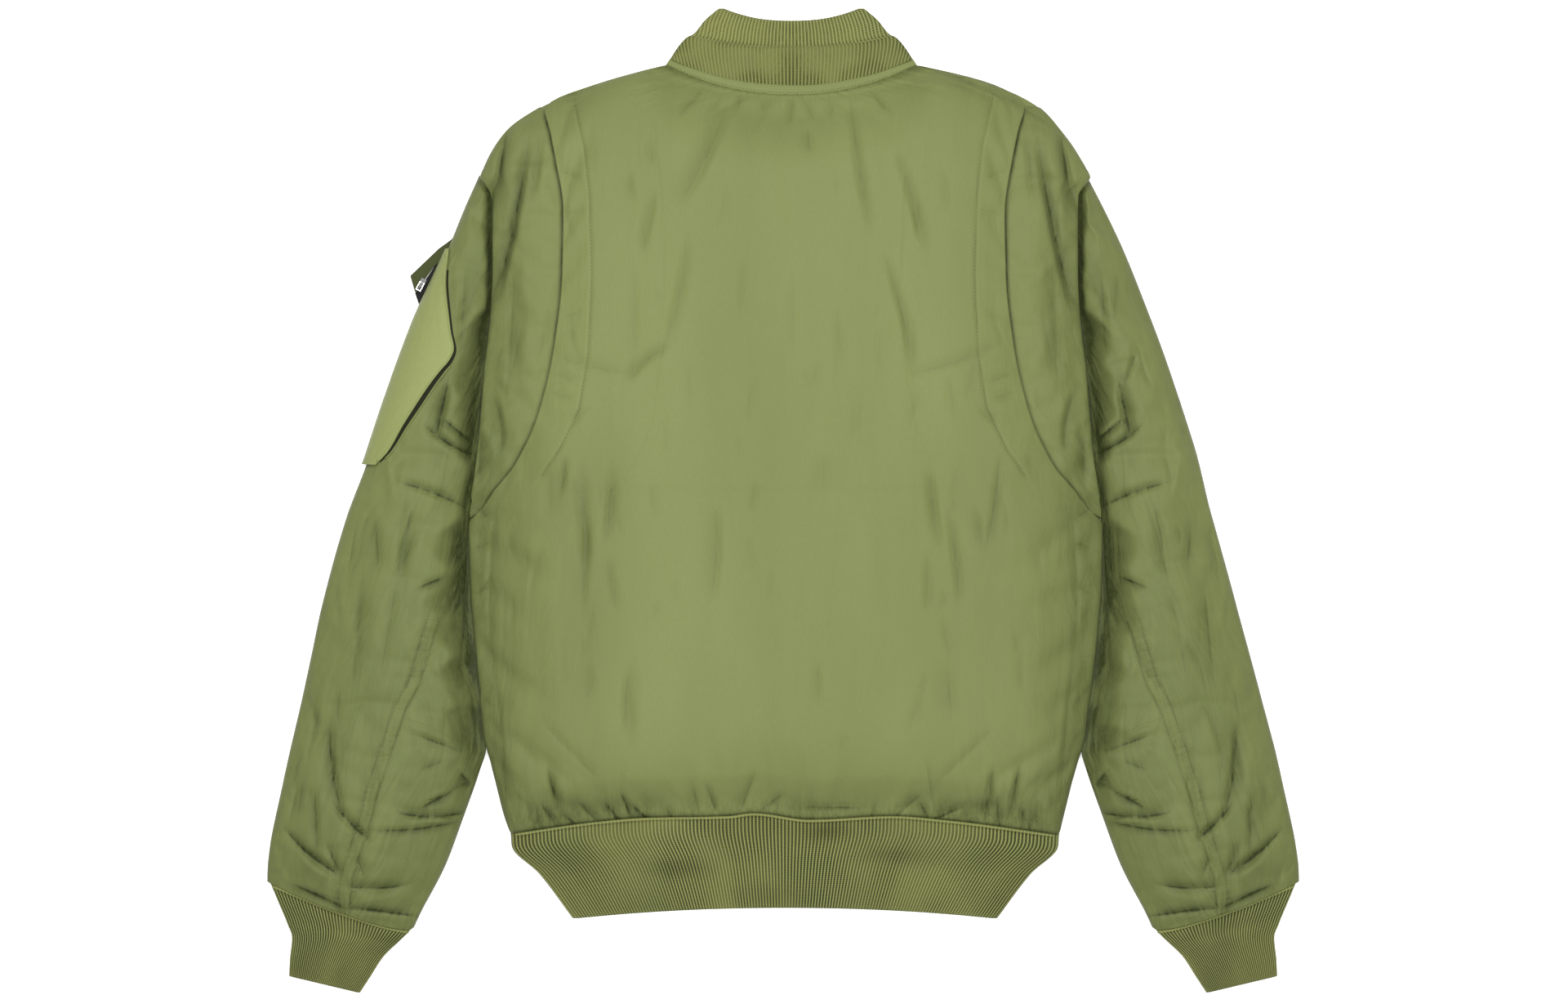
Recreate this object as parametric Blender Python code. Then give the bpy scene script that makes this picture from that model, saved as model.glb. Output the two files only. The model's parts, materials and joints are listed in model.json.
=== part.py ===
"""A padded bomber jacket laid flat with its back upwards, as its cut and sewn pieces.

X runs across the jacket, Y from the hem to the collar and Z up from the surface it lies on.
The tables are in millimetres, and points become metres when a mesh is made.
"""

import math
from collections import namedtuple

import bmesh
import bpy

MM = 0.001
SHARP = math.radians(50)

# Gaps and thicknesses.
SEAM = 0.3  # between pieces that are sewn together
SLIT = 0.8  # between the two layers of a flattened tube
RIB = 4.5  # one layer of the doubled rib knit
SLEEVE_FOLD = 13.0  # padding round the folded edge of a sleeve
LAYERS_MEET = 14.0  # height at which the back lies on the fronts

# Heights of the body.
CROWN = 43.0  # highest place of the back
BACK_EDGE = 18.5  # top of the back at its outline
TROUGH_LOWEST = BACK_EDGE - 1.0  # no trough goes lower than this
SHOULDER_OF_BACK = 85.0  # width over which the back rises from its outline
FRONT_EDGE = 11.5  # underside of the fronts at their outline
SHOULDER_OF_FRONT = 15.0  # width over which the fronts come down to the surface

# The body's outline: distance from the centre line on each side, and how far that line is shifted.
Side = namedtuple("Side", "y half shift")
BODY_SIDE = [
    Side(361, 104.0, 6.8),
    Side(347, 159.3, 10.0),
    Side(326, 207.7, 5.4),
    Side(306, 230.4, 0.4),
    Side(286, 244.2, 0.7),
    Side(269, 251.4, 1.7),
    Side(252, 240.5, 1.7),
    Side(191, 240.5, 1.7),
    Side(149, 242.6, 1.7),
    Side(109, 247.3, 1.7),
    Side(74, 250.0, 1.7),
    Side(36, 253.4, 1.7),
    Side(-16, 260.5, 2.0),
    Side(-66, 259.5, 2.3),
    Side(-105, 256.6, 2.3),
    Side(-143, 252.7, 2.0),
    Side(-180, 248.6, 1.0),
    Side(-206, 245.6, 1.0),
    Side(-235, 238.4, 0.5),
    Side(-258, 232.8, 0.5),
    Side(-277, 227.3, 1.5),
]

# The open edge of each action pleat, from the shoulder to the underarm.
PLEAT = [
    Side(326, 199.0, 0.7),
    Side(306, 193.6, 0.7),
    Side(279, 188.0, 0.7),
    Side(239, 182.0, 0.7),
    Side(185, 183.0, 0.7),
    Side(124, 190.0, 0.7),
    Side(70, 203.0, 0.7),
    Side(29, 222.5, 0.7),
    Side(8, 240.0, 1.0),
    Side(-12, 254.0, 1.7),
]
PLEAT_UNDER = 14.0  # how far the side panel's lower edge reaches under the pleat
PLEAT_GAP = 1.0  # between the two panels inside the pleat
PLEAT_STEP = 6.0  # how far the side panel lies below the pleat's edge
PLEAT_FADE = 30.0  # width over which the side panel rises from that step
PLEAT_OVER = 1.0  # how far the side panel may rise over the pleat's edge
PLEAT_LOWEST = BACK_EDGE - 1.5  # no place of the side panel is lower than this
ARMHOLE_ROWS = [269, 252, 149, 109, 36]  # further rows of the side panel, where the armhole bends

# The seam between the body and the hem rib.
Seam = namedtuple("Seam", "x y")
HEM_SEAM = [
    Seam(-226, -276.0),
    Seam(-156, -266.0),
    Seam(-115, -262.5),
    Seam(-45, -261.0),
    Seam(-25, -258.5),
    Seam(22, -264.0),
    Seam(90, -261.0),
    Seam(140, -265.0),
    Seam(226, -276.5),
]
FRONT_HEM = Seam(226.0, -262.5)
FRONT_HEM_DROP = 14.0
HEM_LAST = -338.3  # lower edge of the hem rib at the centre
HEM_ARCH = 8.8  # how much lower it is at the corners
Rib = namedtuple("Rib", "down half")
HEM_RIB = [Rib(0.0, 226.8), Rib(0.15, 226.3), Rib(0.48, 203.5), Rib(1.0, 175.9)]
HEM_OPENING = 0.025  # half of the gap at the zip, as a share of the half width
HEM_DROP = 9.0  # the rib comes down from the seam to the surface by this much
HEM_FALL = 0.7  # how early it comes down, 1 for evenly
HEM_ABOVE = 5.5  # top of the rib over the place where the layers meet
BAND_BELOW = 5.0  # underside of a rib band under that place
BAND_BULGE = 0.6  # how far the hem rib's folded sides stand out

# Neck and collar.
NECK = Seam(104.0, 337.0)  # half width and lowest place of the strip's lower seam
NECK_RISE = 24.0
FRONT_NECK = 333.0
STRIP_EDGE = 20.5  # height of the neck strip at its seams
STRIP_TOP = 22.0  # and along its middle
COLLAR_SHIFT = 6.8
COLLAR_FRONT_SEAM = 334.2
COLLAR_ABOVE = 5.0  # top of the collar over the place where the layers meet
COLLAR_DROP = 6.0  # the collar comes down towards the surface by this much
COLLAR_BEND = 2.2  # how squarely the band bends up at its sides
COLLAR_OPENING = 0.04  # half of the gap at the zip, as a share of the half width
UNDER_SHORT = 1.0  # the hidden front ends this far short of the back
COLLAR_LIP = 1.2  # the lower part of a rib stands this far over the upper part
# The collar from its seam to its free edge: half width, height at the centre and at the sides.
Band = namedtuple("Band", "up half y side_y lip")
COLLAR = [
    Band(0.0, 100.8, 343.9, 366.0, 1.0),
    Band(0.55, 86.5, 375.4, 385.0, 1.0),
    Band(0.6, 82.0, 377.0, 387.0, 0.0),
    Band(1.0, 60.5, 398.6, 409.0, 0.0),
]

# Sections across the sleeve: its outer point and how far it leans to the left, its inner point
# (half is None along the body), its thickness, the share of the width, from the inner edge,
# where the seam runs, and how far the section droops between its ends.
Section = namedtuple("Section", "out_half out_y lean in_half in_y thick seam droop", defaults=[0.0])
SLEEVE = [
    Section(252.2, 267.5, 0.0, None, 250.3, 23, 0.0),
    Section(262.9, 245.6, -0.7, None, 226.0, 28, 0.0),
    Section(280.8, 205.0, -2.0, None, 191.0, 34, 0.0),
    Section(297.4, 164.4, -1.5, None, 149.0, 38, 0.0),
    Section(312.9, 123.8, -1.3, None, 109.0, 40, 0.0),
    Section(327.0, 83.2, -1.0, None, 74.0, 41, 0.0),
    Section(340.5, 42.6, -0.5, None, 36.0, 41, 0.0),
    Section(356.0, -6.9, 2.85, None, -12.9, 41, 0.0),
    Section(357.0, -10.0, 3.0, None, -16.0, 41, 0.04),
    Section(368.0, -48.0, 3.4, None, -66.0, 41, 0.05),
    Section(378.6, -88.0, 3.2, None, -105.0, 41, 0.116),
    Section(388.3, -128.0, 2.0, None, -143.0, 41, 0.283),
    Section(398.0, -168.0, 1.0, None, -180.0, 40, 0.40),
    Section(407.5, -206.0, 0.4, 251.3, -221.0, 40, 0.459),
    Section(415.4, -241.5, 0.3, 265.6, -262.0, 39, 0.474),
    Section(424.2, -282.1, 0.2, 280.8, -302.4, 35, 0.467),
    Section(427.4, -305.0, 0.0, 300.7, -340.0, 27, 0.44, 9.0),
    Section(428.0, -316.0, 0.0, 307.5, -354.3, 21, 0.458, 15.0),
]
FIRST_UNDER = 8  # the under-sleeve panel starts at this section, at the underarm
MIDDLE = 0.42  # height of the slit between the layers, as a share of the thickness
EDGE_LAYER = 2.5  # thickness of a layer at the very edge
EDGE_BULGE = 1.0  # how far the folded edge stands out over its section
SLIT_BULGE = 0.5  # and how far the slit between its layers does
BESIDE_BODY = 1.2  # from the body's side to the sleeve

# Sections of the cuff rib, from its seam to its free edge.
Cuff = namedtuple("Cuff", "out_half out_y in_half in_y low high droop", defaults=[0.0])
CUFF = [
    Cuff(427.0, -317.0, 308.2, -355.3, 3.0, 14.0, 15.0),
    Cuff(420.5, -331.0, 312.5, -359.6, 2.4, 13.3, 9.0),
    Cuff(412.4, -351.0, 320.5, -367.4, 1.0, 12.0, 3.0),
    Cuff(408.5, -363.0, 332.0, -378.5, 0.0, 10.5),
    Cuff(410.3, -381.0, 343.5, -396.0, 0.0, 10.0),
    Cuff(411.0, -395.0, 352.0, -409.0, 0.0, 9.6),
]

# The pocket's inner edge on the left sleeve: section of the sleeve, share of its width, and
# how far the pocket's cloth stands off the sleeve there.
PocketRow = namedtuple("PocketRow", "section edge stand")
POCKET = [
    PocketRow(1.9, 0.96, 0.8),
    PocketRow(2.0, 0.925, 1.0),
    PocketRow(2.5, 0.78, 1.6),
    PocketRow(3.0, 0.62, 2.6),
    PocketRow(3.4, 0.51, 3.2),
    PocketRow(3.8, 0.41, 3.2),
    PocketRow(4.0, 0.435, 3.2),
    PocketRow(4.25, 0.507, 3.2),
    PocketRow(4.6, 0.59, 3.2),
    PocketRow(5.0, 0.665, 3.2),
    PocketRow(5.5, 0.745, 3.0),
    PocketRow(6.0, 0.81, 2.6),
    PocketRow(6.25, 0.885, 2.4),
]
POCKET_CLOTH = 1.6
POCKET_LIFT = 4.8  # the pocket's hidden part holds the sleeve's underside up by this much
POCKET_WRAP = 0.42  # the hidden part ends at this share of the width, under the sleeve
LIFT_FROM = 0.4  # section where the lift starts
LIFT_TO = 8.6  # section where it ends
LIFT_EASE = 0.6  # how many sections it takes to grow or fade
LIFT_BESIDE = 0.3  # share of the width by which it starts before the pocket
LIFT_ACROSS = 0.22  # share of the width over which it grows
POCKET_FOLD = 0.985  # the pocket turns round the sleeve's fold from this share of the width
POCKET_TOP_COLUMNS = [0.0, 0.25, 0.5, 0.75, 1.0]
POCKET_UNDER_COLUMNS = [1.0, 0.8, 0.5, 0.25, 0.0]
GUSSET_CLEAR = 0.7  # from the gusset to the sleeve under it and the pocket over it
GUSSET_INSET = 0.01  # from the pocket's edge, as a share of the sleeve's width
GUSSET_WIDE = 0.05  # its width, as a share of the sleeve's

# Troughs in the padding: from one place to another on each side, with depth and half width.
Fold = namedtuple("Fold", "x0 y0 x1 y1 deep wide")
FOLDS = [
    Fold(210, 285, 221, 215, 7.0, 7.0),
    Fold(221, 215, 243, 140, 8.0, 8.0),
    Fold(232, 290, 238, 205, 6.0, 6.0),
    Fold(176, -262, 168, -232, 5.0, 9.0),
    Fold(120, -258, 132, -236, 4.0, 8.0),
    Fold(97, -258, 88, -240, 4.0, 8.0),
    Fold(148, 24, 160, -86, 2.5, 12.0),
    Fold(256, -222, 300, -205, 8.0, 7.0),
    Fold(262, -246, 312, -236, 8.0, 7.0),
    Fold(300, -180, 268, -176, 3.0, 5.0),
    Fold(372, -298, 402, -262, 5.0, 8.0),
    Fold(320, -330, 350, -322, 5.0, 7.0),
    Fold(371, -190, 365, -246, 3.0, 9.0),
    Fold(365, -246, 342, -278, 4.0, 8.0),
]
# The valley in which each sleeve sinks under the body's edge, from the shoulder to the elbow.
VALLEYS = [
    Fold(243, 235, 250, 150, 9.0, 9.0),
    Fold(250, 150, 262, -16, 14.0, 12.0),
    Fold(262, -16, 268, -200, 16.0, 17.0),
]

# Columns across the body, as shares of its half width.
HALF_COLUMNS = [0.0, 0.1, 0.2, 0.3, 0.4, 0.5, 0.6, 0.7, 0.79, 0.87, 0.94, 1.0]
WHOLE_COLUMNS = [-u for u in reversed(HALF_COLUMNS[1:])] + HALF_COLUMNS
UNDER_BODY_COLUMNS = [0.0, 0.2, 0.4, 0.6, 0.79, 0.94, 1.0]
NECK_ROWS = 235.0  # rows above this height bend towards the neck
HEM_ROWS = -180.0  # rows below it bend towards the hem seam
FOLD_INSET = 1.5  # a band's columns end this far inside its folded sides
SIDE_COLUMNS = [0.0, 0.2, 0.4, 0.6, 0.8, 0.92, 1.0]  # from the pleat to the armhole
CUFF_COLUMNS = [0.04, 0.12, 0.24, 0.38, 0.52, 0.66, 0.8, 0.92, 0.98]
CUFF_JOIN = 0.5  # the cuff's own seam underneath, as a share of its width
# Columns across a sleeve's panels, from the seam to the folded edge.
OUTER_COLUMNS = [0.0, 0.12, 0.28, 0.45, 0.62, 0.78, 0.9, 0.97, 1.0]
UNDER_COLUMNS = [0.0, 0.25, 0.5, 0.75, 0.92, 1.0]

# The front zip, under the jacket.
ZIP_HALF = 3.4
ZIP_THICK = 1.6
ZIP_HEIGHT = 6.0
CHANNEL_HALF = 9.0  # from the zip's middle to where a front rests on the surface
ZIP_SHIFT = 1.5
# Underside of the chain along the jacket.
Chain = namedtuple("Chain", "y low")
ZIP_CHAIN = [
    Chain(HEM_LAST + 1.0, 1.6),
    Chain(-300.0, 4.4),
    Chain(-262.0, ZIP_HEIGHT),
    Chain(0.0, ZIP_HEIGHT),
    Chain(FRONT_NECK - 3.0, ZIP_HEIGHT),
]

# Slider and pull of a zip: a plate, a bail of two posts and a bridge, and a looped pull.
Slider = namedtuple("Slider", "long wide thick post apart bail pull_long pull_wide wire")
FRONT_SLIDER = Slider(11.0, 8.0, 1.9, 0.8, 2.0, 2.1, 26.0, 5.6, 0.9)
POCKET_SLIDER = Slider(7.0, 4.6, 1.5, 0.7, 1.5, 1.9, 7.0, 4.6, 0.8)
BAIL_OVERLAP = 0.2  # how far the parts of a bail run into each other
UNDERNEATH = (0.0, math.pi, 0.0)
FRONT_SLIDER_Y = 318.0

# The flap and the dark zip tape that stand out beyond the sleeve's outer edge, corner by corner.
POCKET_FLAP = [
    (-276.0, 216.0, 9.5),
    (-286.0, 209.5, 9.5),
    (-309.6, 186.7, 11.0),
    (-304.8, 173.2, 10.5),
    (-297.4, 181.0, 9.0),
    (-290.5, 193.0, 8.5),
    (-284.3, 207.0, 8.5),
    (-280.0, 213.2, 8.5),
]
FLAP_THICK = 2.0
POCKET_TAPE = [
    (-305.2, 173.0, 5.5),
    (-302.5, 161.5, 5.0),
    (-299.5, 172.0, 5.0),
    (-296.5, 180.0, 5.0),
]
TAPE_THICK = 1.4
POCKET_ZIP_AT = (-299.5, 181.0, 11.4)
POCKET_ZIP_TURN = (0.0, 0.0, math.radians(-28))

Finish = namedtuple("Finish", "name colour rough metal")
OLIVE = Finish("olive_nylon", (0.262, 0.300, 0.122, 1.0), 0.5, 0.0)
OLIVE_DARK = Finish("olive_nylon_inside", (0.06, 0.07, 0.03, 1.0), 0.7, 0.0)
KNIT = Finish("olive_rib_knit", (0.20, 0.23, 0.06, 1.0), 0.9, 0.0)
TAPE = Finish("zip_tape", (0.015, 0.015, 0.012, 1.0), 0.8, 0.0)
STEEL = Finish("polished_steel", (0.75, 0.75, 0.73, 1.0), 0.25, 1.0)


def clear_scene():
    """Empties the file that the script runs in."""
    for thing in list(bpy.data.objects):
        bpy.data.objects.remove(thing, do_unlink=True)


def material(finish):
    """The Principled material of a finish, made once."""
    found = bpy.data.materials.get(finish.name)
    if found:
        return found
    made = bpy.data.materials.new(finish.name)
    made.use_nodes = True
    shader = made.node_tree.nodes["Principled BSDF"]
    shader.inputs["Base Color"].default_value = finish.colour
    shader.inputs["Roughness"].default_value = finish.rough
    shader.inputs["Metallic"].default_value = finish.metal
    made.diffuse_color = finish.colour
    return made


def lerp(a, b, share):
    """The value at a share of the way from one value to another."""
    return a + (b - a) * share


def read(table, at, column):
    """The value of a column at a place, on straight lines between the table's rows."""
    first = [row[0] for row in table]
    if first[0] > first[-1]:
        table = table[::-1]
        first = first[::-1]
    if at <= first[0]:
        return getattr(table[0], column)
    for low, high in zip(table, table[1:]):
        if at <= high[0]:
            share = (at - low[0]) / (high[0] - low[0])
            return lerp(getattr(low, column), getattr(high, column), share)
    return getattr(table[-1], column)


def rise(distance, reach):
    """A quarter circle: 0 at the edge and 1 from reach inwards."""
    left = 1.0 - min(max(distance / reach, 0.0), 1.0)
    return math.sqrt(1.0 - left * left)


def to_segment(x, y, a, b):
    """Distance from a point to the straight line between two places."""
    dx, dy = b[0] - a[0], b[1] - a[1]
    share = ((x - a[0]) * dx + (y - a[1]) * dy) / (dx * dx + dy * dy)
    share = min(max(share, 0.0), 1.0)
    return math.hypot(x - a[0] - share * dx, y - a[1] - share * dy)


def sag(share):
    """How a section droops across its width, most of it nearer to the inner end."""
    return (1.0 - share) * math.sqrt(share)


def body_edge(y, side):
    """X of the body's outline on one side."""
    return read(BODY_SIDE, y, "shift") + side * read(BODY_SIDE, y, "half")


def hem_seam(x):
    """Y of the hem seam on the back."""
    return read(HEM_SEAM, x, "y")


def body_outline():
    """The body's whole outline as segments, neck and hem included."""
    left = [(body_edge(s.y, -1), s.y) for s in BODY_SIDE]
    right = [(body_edge(s.y, 1), s.y) for s in BODY_SIDE]
    neck = [(COLLAR_SHIFT + u * NECK.x, NECK.y + NECK_RISE * u * u) for u in WHOLE_COLUMNS]
    hem = [(s.x, s.y) for s in HEM_SEAM]
    lines = [left, right, neck, hem]
    return [pair for line in lines for pair in zip(line, line[1:])]


OUTLINE = body_outline()


def edge_distance(x, y):
    """Distance from a place to the body's outline."""
    return min(to_segment(x, y, a, b) for a, b in OUTLINE)


def fold_depth(x, y, folds):
    """How deep the troughs are at a place, on either side of the centre line."""
    deep = 0.0
    for fold in folds:
        away = to_segment(abs(x), y, (fold.x0, fold.y0), (fold.x1, fold.y1))
        deep = max(deep, fold.deep * math.exp(-((away / fold.wide) ** 2)))
    return deep


def back_height(x, y):
    """Top of the back: a soft crown inside the outline."""
    crown = BACK_EDGE + (CROWN - BACK_EDGE) * rise(edge_distance(x, y), SHOULDER_OF_BACK)
    return max(crown - fold_depth(x, y, FOLDS), TROUGH_LOWEST)


def front_height(x, y):
    """Underside of the fronts: flat on the surface and rounded up at the outline."""
    return FRONT_EDGE * (1.0 - rise(edge_distance(x, y), SHOULDER_OF_FRONT))


def cloth(name, outside, inside, finish):
    """One closed piece of cloth between the points of its outer face and of its inner face.

    Each face is a list of rows with the same number of points, in millimetres.
    """
    mesh = bmesh.new()
    faces = []
    for grid in (outside, inside):
        faces.append([[mesh.verts.new([c * MM for c in p]) for p in row] for row in grid])
    rows, columns = len(outside), len(outside[0])
    for i in range(rows - 1):
        for j in range(columns - 1):
            for grid in faces:
                corners = (grid[i][j], grid[i][j + 1], grid[i + 1][j + 1], grid[i + 1][j])
                mesh.faces.new(corners)
    out, inn = faces
    rim = [(i, 0) for i in range(rows)] + [(rows - 1, j) for j in range(1, columns)]
    rim += [(i, columns - 1) for i in range(rows - 2, -1, -1)]
    rim += [(0, j) for j in range(columns - 2, 0, -1)]
    for (i, j), (k, m) in zip(rim, rim[1:] + rim[:1]):
        a, b = (i, j), (k, m)
        if outside[i][j][1] > outside[k][m][1]:
            a, b = b, a
        # The edge is split the same way on both sides of a seam, from the point with the lower Y.
        first, second, low, high = out[a[0]][a[1]], out[b[0]][b[1]], inn[a[0]][a[1]], inn[b[0]][b[1]]
        mesh.faces.new((first, second, high))
        mesh.faces.new((first, high, low))
    bmesh.ops.recalc_face_normals(mesh, faces=mesh.faces)
    return finished(name, mesh, finish)


def finished(name, mesh, finish):
    """Turns a bmesh into an object with its material and soft shading."""
    data = bpy.data.meshes.new(name)
    mesh.to_mesh(data)
    mesh.free()
    data.materials.append(material(finish))
    data.shade_smooth()
    data.set_sharp_from_angle(angle=SHARP)
    thing = bpy.data.objects.new(name, data)
    bpy.context.scene.collection.objects.link(thing)
    return thing


def back_centre():
    """The back's centre panel, from the hem seam to the neck, with its edges over the sides."""
    below = [s for s in BODY_SIDE if s.y < PLEAT[-1].y]
    above = [s for s in BODY_SIDE if s.y > PLEAT[0].y]
    edge = above + PLEAT + below
    outside, inside = [], []
    for row in reversed(edge):
        over = PLEAT_UNDER if row in PLEAT[:-1] else 0.0
        top_row, bottom_row = [], []
        for u in WHOLE_COLUMNS:
            x = row.shift + u * (row.half - SEAM / 2)
            y = row.y + row_ease(row.y, x, u, NECK_RISE, hem_seam)
            top_row.append((x, y, back_height(x, y)))
            x = row.shift + u * (row.half - SEAM / 2 - over)
            bottom_row.append((x, y, LAYERS_MEET + SEAM))
        outside.append(top_row)
        inside.append(bottom_row)
    return cloth("back_centre_panel", outside, inside, OLIVE)


def front_hem_seam(x):
    """The hem seam under the jacket, a plain curve."""
    return FRONT_HEM.y - FRONT_HEM_DROP * (abs(x) / FRONT_HEM.x) ** 3


def row_ease(y, x, u, neck_drop, seam):
    """Rows near the neck bend down to follow it, and rows near the hem follow its seam."""
    top, bottom = BODY_SIDE[0].y, BODY_SIDE[-1].y
    if y > NECK_ROWS:
        share = ((y - NECK_ROWS) / (top - NECK_ROWS)) ** 1.5
        return -share * neck_drop * (1.0 - u * u)
    if y < HEM_ROWS:
        share = (HEM_ROWS - y) / (HEM_ROWS - bottom)
        return share * (seam(x) + SEAM / 2 - bottom)
    return 0.0


def back_side(name, side):
    """The back's side panel, tucked under the pleat's edge and sewn to the armhole."""
    outside, inside = [], []
    for y in sorted([s.y for s in PLEAT] + ARMHOLE_ROWS):
        pleat = read(PLEAT, y, "shift") + side * read(PLEAT, y, "half")
        lip = pleat_height(pleat, y)
        armhole = body_edge(y, side) - side * SEAM / 2
        under = PLEAT_UNDER if y > PLEAT[-1].y else 0.0
        low = pleat - side * (under - PLEAT_GAP)
        edge = back_height(pleat, y)
        tuck = under * (edge - lip) / max(edge - LAYERS_MEET - SEAM, 1.0)
        start = pleat - side * (tuck - PLEAT_GAP)
        top_row, bottom_row = [], []
        for share in SIDE_COLUMNS:
            x = lerp(start, armhole, share)
            step = PLEAT_STEP * max(0.0, 1.0 - abs(x - pleat) / PLEAT_FADE)
            z = max(min(back_height(x, y), edge + PLEAT_OVER) - step, PLEAT_LOWEST)
            top_row.append((x, y, lip if share == 0.0 else z))
            x = lerp(low, armhole, share)
            bottom_row.append((x, y, LAYERS_MEET + SEAM))
        outside.append(top_row)
        inside.append(bottom_row)
    return cloth(name, outside, inside, OLIVE)


def pleat_height(x, y):
    """Top of the side panel right under the pleat's edge."""
    return max(back_height(x, y) - PLEAT_STEP, PLEAT_LOWEST)


def front(name, side):
    """A front panel, flat on the surface, with a slanted edge beside the zip."""
    outside, inside = [], []
    for row in reversed(BODY_SIDE):
        low_row, top_row = [], []
        for u in UNDER_BODY_COLUMNS:
            edge = row.shift + side * (row.half - SEAM / 2)
            x = lerp(ZIP_SHIFT + side * CHANNEL_HALF, edge, u)
            y = row.y + row_ease(row.y, x, u, BODY_SIDE[0].y - FRONT_NECK, front_hem_seam)
            low_row.append((x, y, front_height(x, y)))
            x = lerp(ZIP_SHIFT + side * SEAM / 2, edge, u)
            top_row.append((x, y, LAYERS_MEET))
        outside.append(low_row)
        inside.append(top_row)
    return cloth(name, outside, inside, OLIVE)


def collar_seam(u):
    """Y of the back seam of the collar at a share of its half width."""
    return lerp(COLLAR[0].y, COLLAR[0].side_y, abs(u) ** COLLAR_BEND)


def neck_strip():
    """The narrow strip of cloth between the back and the collar rib."""
    outside, inside = [], []
    for up, high in ((0.0, STRIP_EDGE), (0.5, STRIP_TOP), (1.0, STRIP_EDGE)):
        top_row, bottom_row = [], []
        for u in WHOLE_COLUMNS:
            low = (NECK.x * u, NECK.y + NECK_RISE * u * u + SEAM)
            top = (COLLAR[0].half * u, collar_seam(u) - SEAM)
            x = COLLAR_SHIFT + lerp(low[0], top[0], up)
            y = lerp(low[1], top[1], up)
            top_row.append((x, y, high))
            bottom_row.append((x, y, LAYERS_MEET + SEAM))
        outside.append(top_row)
        inside.append(bottom_row)
    return cloth("neck_strip", outside, inside, OLIVE)


def band_columns(opening):
    """Columns round a flattened band: (share of the half width, layer).

    Layer -1 is the front, under, 0 the folded side and 1 the back, on top.
    """
    under = [u for u in UNDER_BODY_COLUMNS if u > opening]
    left = [(-opening, -1)] + [(-u, -1) for u in under]
    right = [(u, -1) for u in reversed(under)] + [(opening, -1)]
    return left + [(-1.0, 0)] + [(u, 1) for u in WHOLE_COLUMNS] + [(1.0, 0)] + right


def band_heights(layer, low, high):
    """Outer and inner height of a flattened band's layer."""
    middle = (low + high) / 2
    if layer == 0:
        return middle, middle
    if layer > 0:
        return high, middle + SLIT / 2
    return low, middle - SLIT / 2


def hem_rib():
    """The rib band round the hem, open at the zip and lying down to the surface."""
    columns = band_columns(HEM_OPENING)
    outside, inside = [], []
    for rib in HEM_RIB:
        drop = HEM_DROP * rib.down**HEM_FALL
        low, high = LAYERS_MEET - BAND_BELOW - drop, LAYERS_MEET + HEM_ABOVE - drop
        out_row, in_row = [], []
        for u, layer in columns:
            reach = rib.half if layer == 0 else rib.half - FOLD_INSET
            out_z, in_z = band_heights(layer, low, high)
            for row, z, across in ((out_row, out_z, reach), (in_row, in_z, rib.half - RIB)):
                x = BODY_SIDE[-1].shift + u * (across + (BAND_BULGE if layer == 0 else 0.0))
                seam_x = BODY_SIDE[-1].shift + u * HEM_RIB[0].half
                top = hem_seam(seam_x) - SEAM
                if layer <= 0:
                    top = front_hem_seam(seam_x) - 3 * SEAM
                bottom = HEM_LAST - HEM_ARCH * u * u
                row.append((x, lerp(top, bottom, rib.down), max(z, 0.0)))
        outside.append(out_row)
        inside.append(in_row)
    return cloth("hem_rib", outside, inside, KNIT)


def collar_rib():
    """The rib band round the neck, folded at its sides, with its front under its back."""
    outside, inside = [], []
    for band in COLLAR:
        drop = COLLAR_DROP * band.up
        low, high = LAYERS_MEET - BAND_BELOW - drop, LAYERS_MEET + COLLAR_ABOVE - drop
        out_row, in_row = [], []
        for u, layer in band_columns(COLLAR_OPENING):
            out_z, in_z = band_heights(layer, low, high)
            out_z += COLLAR_LIP * band.lip * max(layer, 0)
            y = lerp(band.y, band.side_y, abs(u) ** COLLAR_BEND)
            if layer < 0:
                seam = lerp(COLLAR_FRONT_SEAM, COLLAR[0].side_y, u * u)
                y -= (lerp(COLLAR[0].y, COLLAR[0].side_y, u * u) - seam) * (1.0 - band.up)
                y -= UNDER_SHORT * band.up
            inset = FOLD_INSET if layer else 0.0
            out_row.append((COLLAR_SHIFT + u * (band.half - inset), y, out_z))
            in_row.append((COLLAR_SHIFT + u * (band.half - RIB), y, in_z))
        outside.append(out_row)
        inside.append(in_row)
    return cloth("collar_rib", outside, inside, KNIT)


# The ends of a section across the left sleeve. Beside is 1 where it runs along the body.
Ends = namedtuple("Ends", "out_half out_y in_half in_y thick seam beside lean droop")


def sleeve_at(section):
    """The sleeve's section at a whole or broken number, on straight lines between its rows."""
    first = min(int(section), len(SLEEVE) - 2)
    share = section - first
    a, b = SLEEVE[first], SLEEVE[first + 1]
    return Ends(*[lerp(p, q, share) for p, q in zip(sleeve_ends(a), sleeve_ends(b))])


def sleeve_ends(row):
    """The ends of one of the table's sections."""
    inner, beside = row.in_half, 0.0
    if row.in_half is None:
        inner, beside = read(BODY_SIDE, row.in_y, "half") + BESIDE_BODY, 1.0
    ends = (row.out_half, row.out_y, inner, row.in_y, row.thick, row.seam)
    return Ends(*ends, beside, row.lean, row.droop)


def sleeve_place(ends, share, side):
    """X and Y at a share of the width, 0 at the inner edge and 1 at the outer."""
    inner = side * ends.in_half + read(BODY_SIDE, ends.in_y, "shift") * ends.beside
    outer = side * ends.out_half - ends.lean
    droop = ends.droop * sag(min(max(share, 0.0), 1.0))
    return lerp(inner, outer, share), lerp(ends.in_y, ends.out_y, share) - droop


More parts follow.
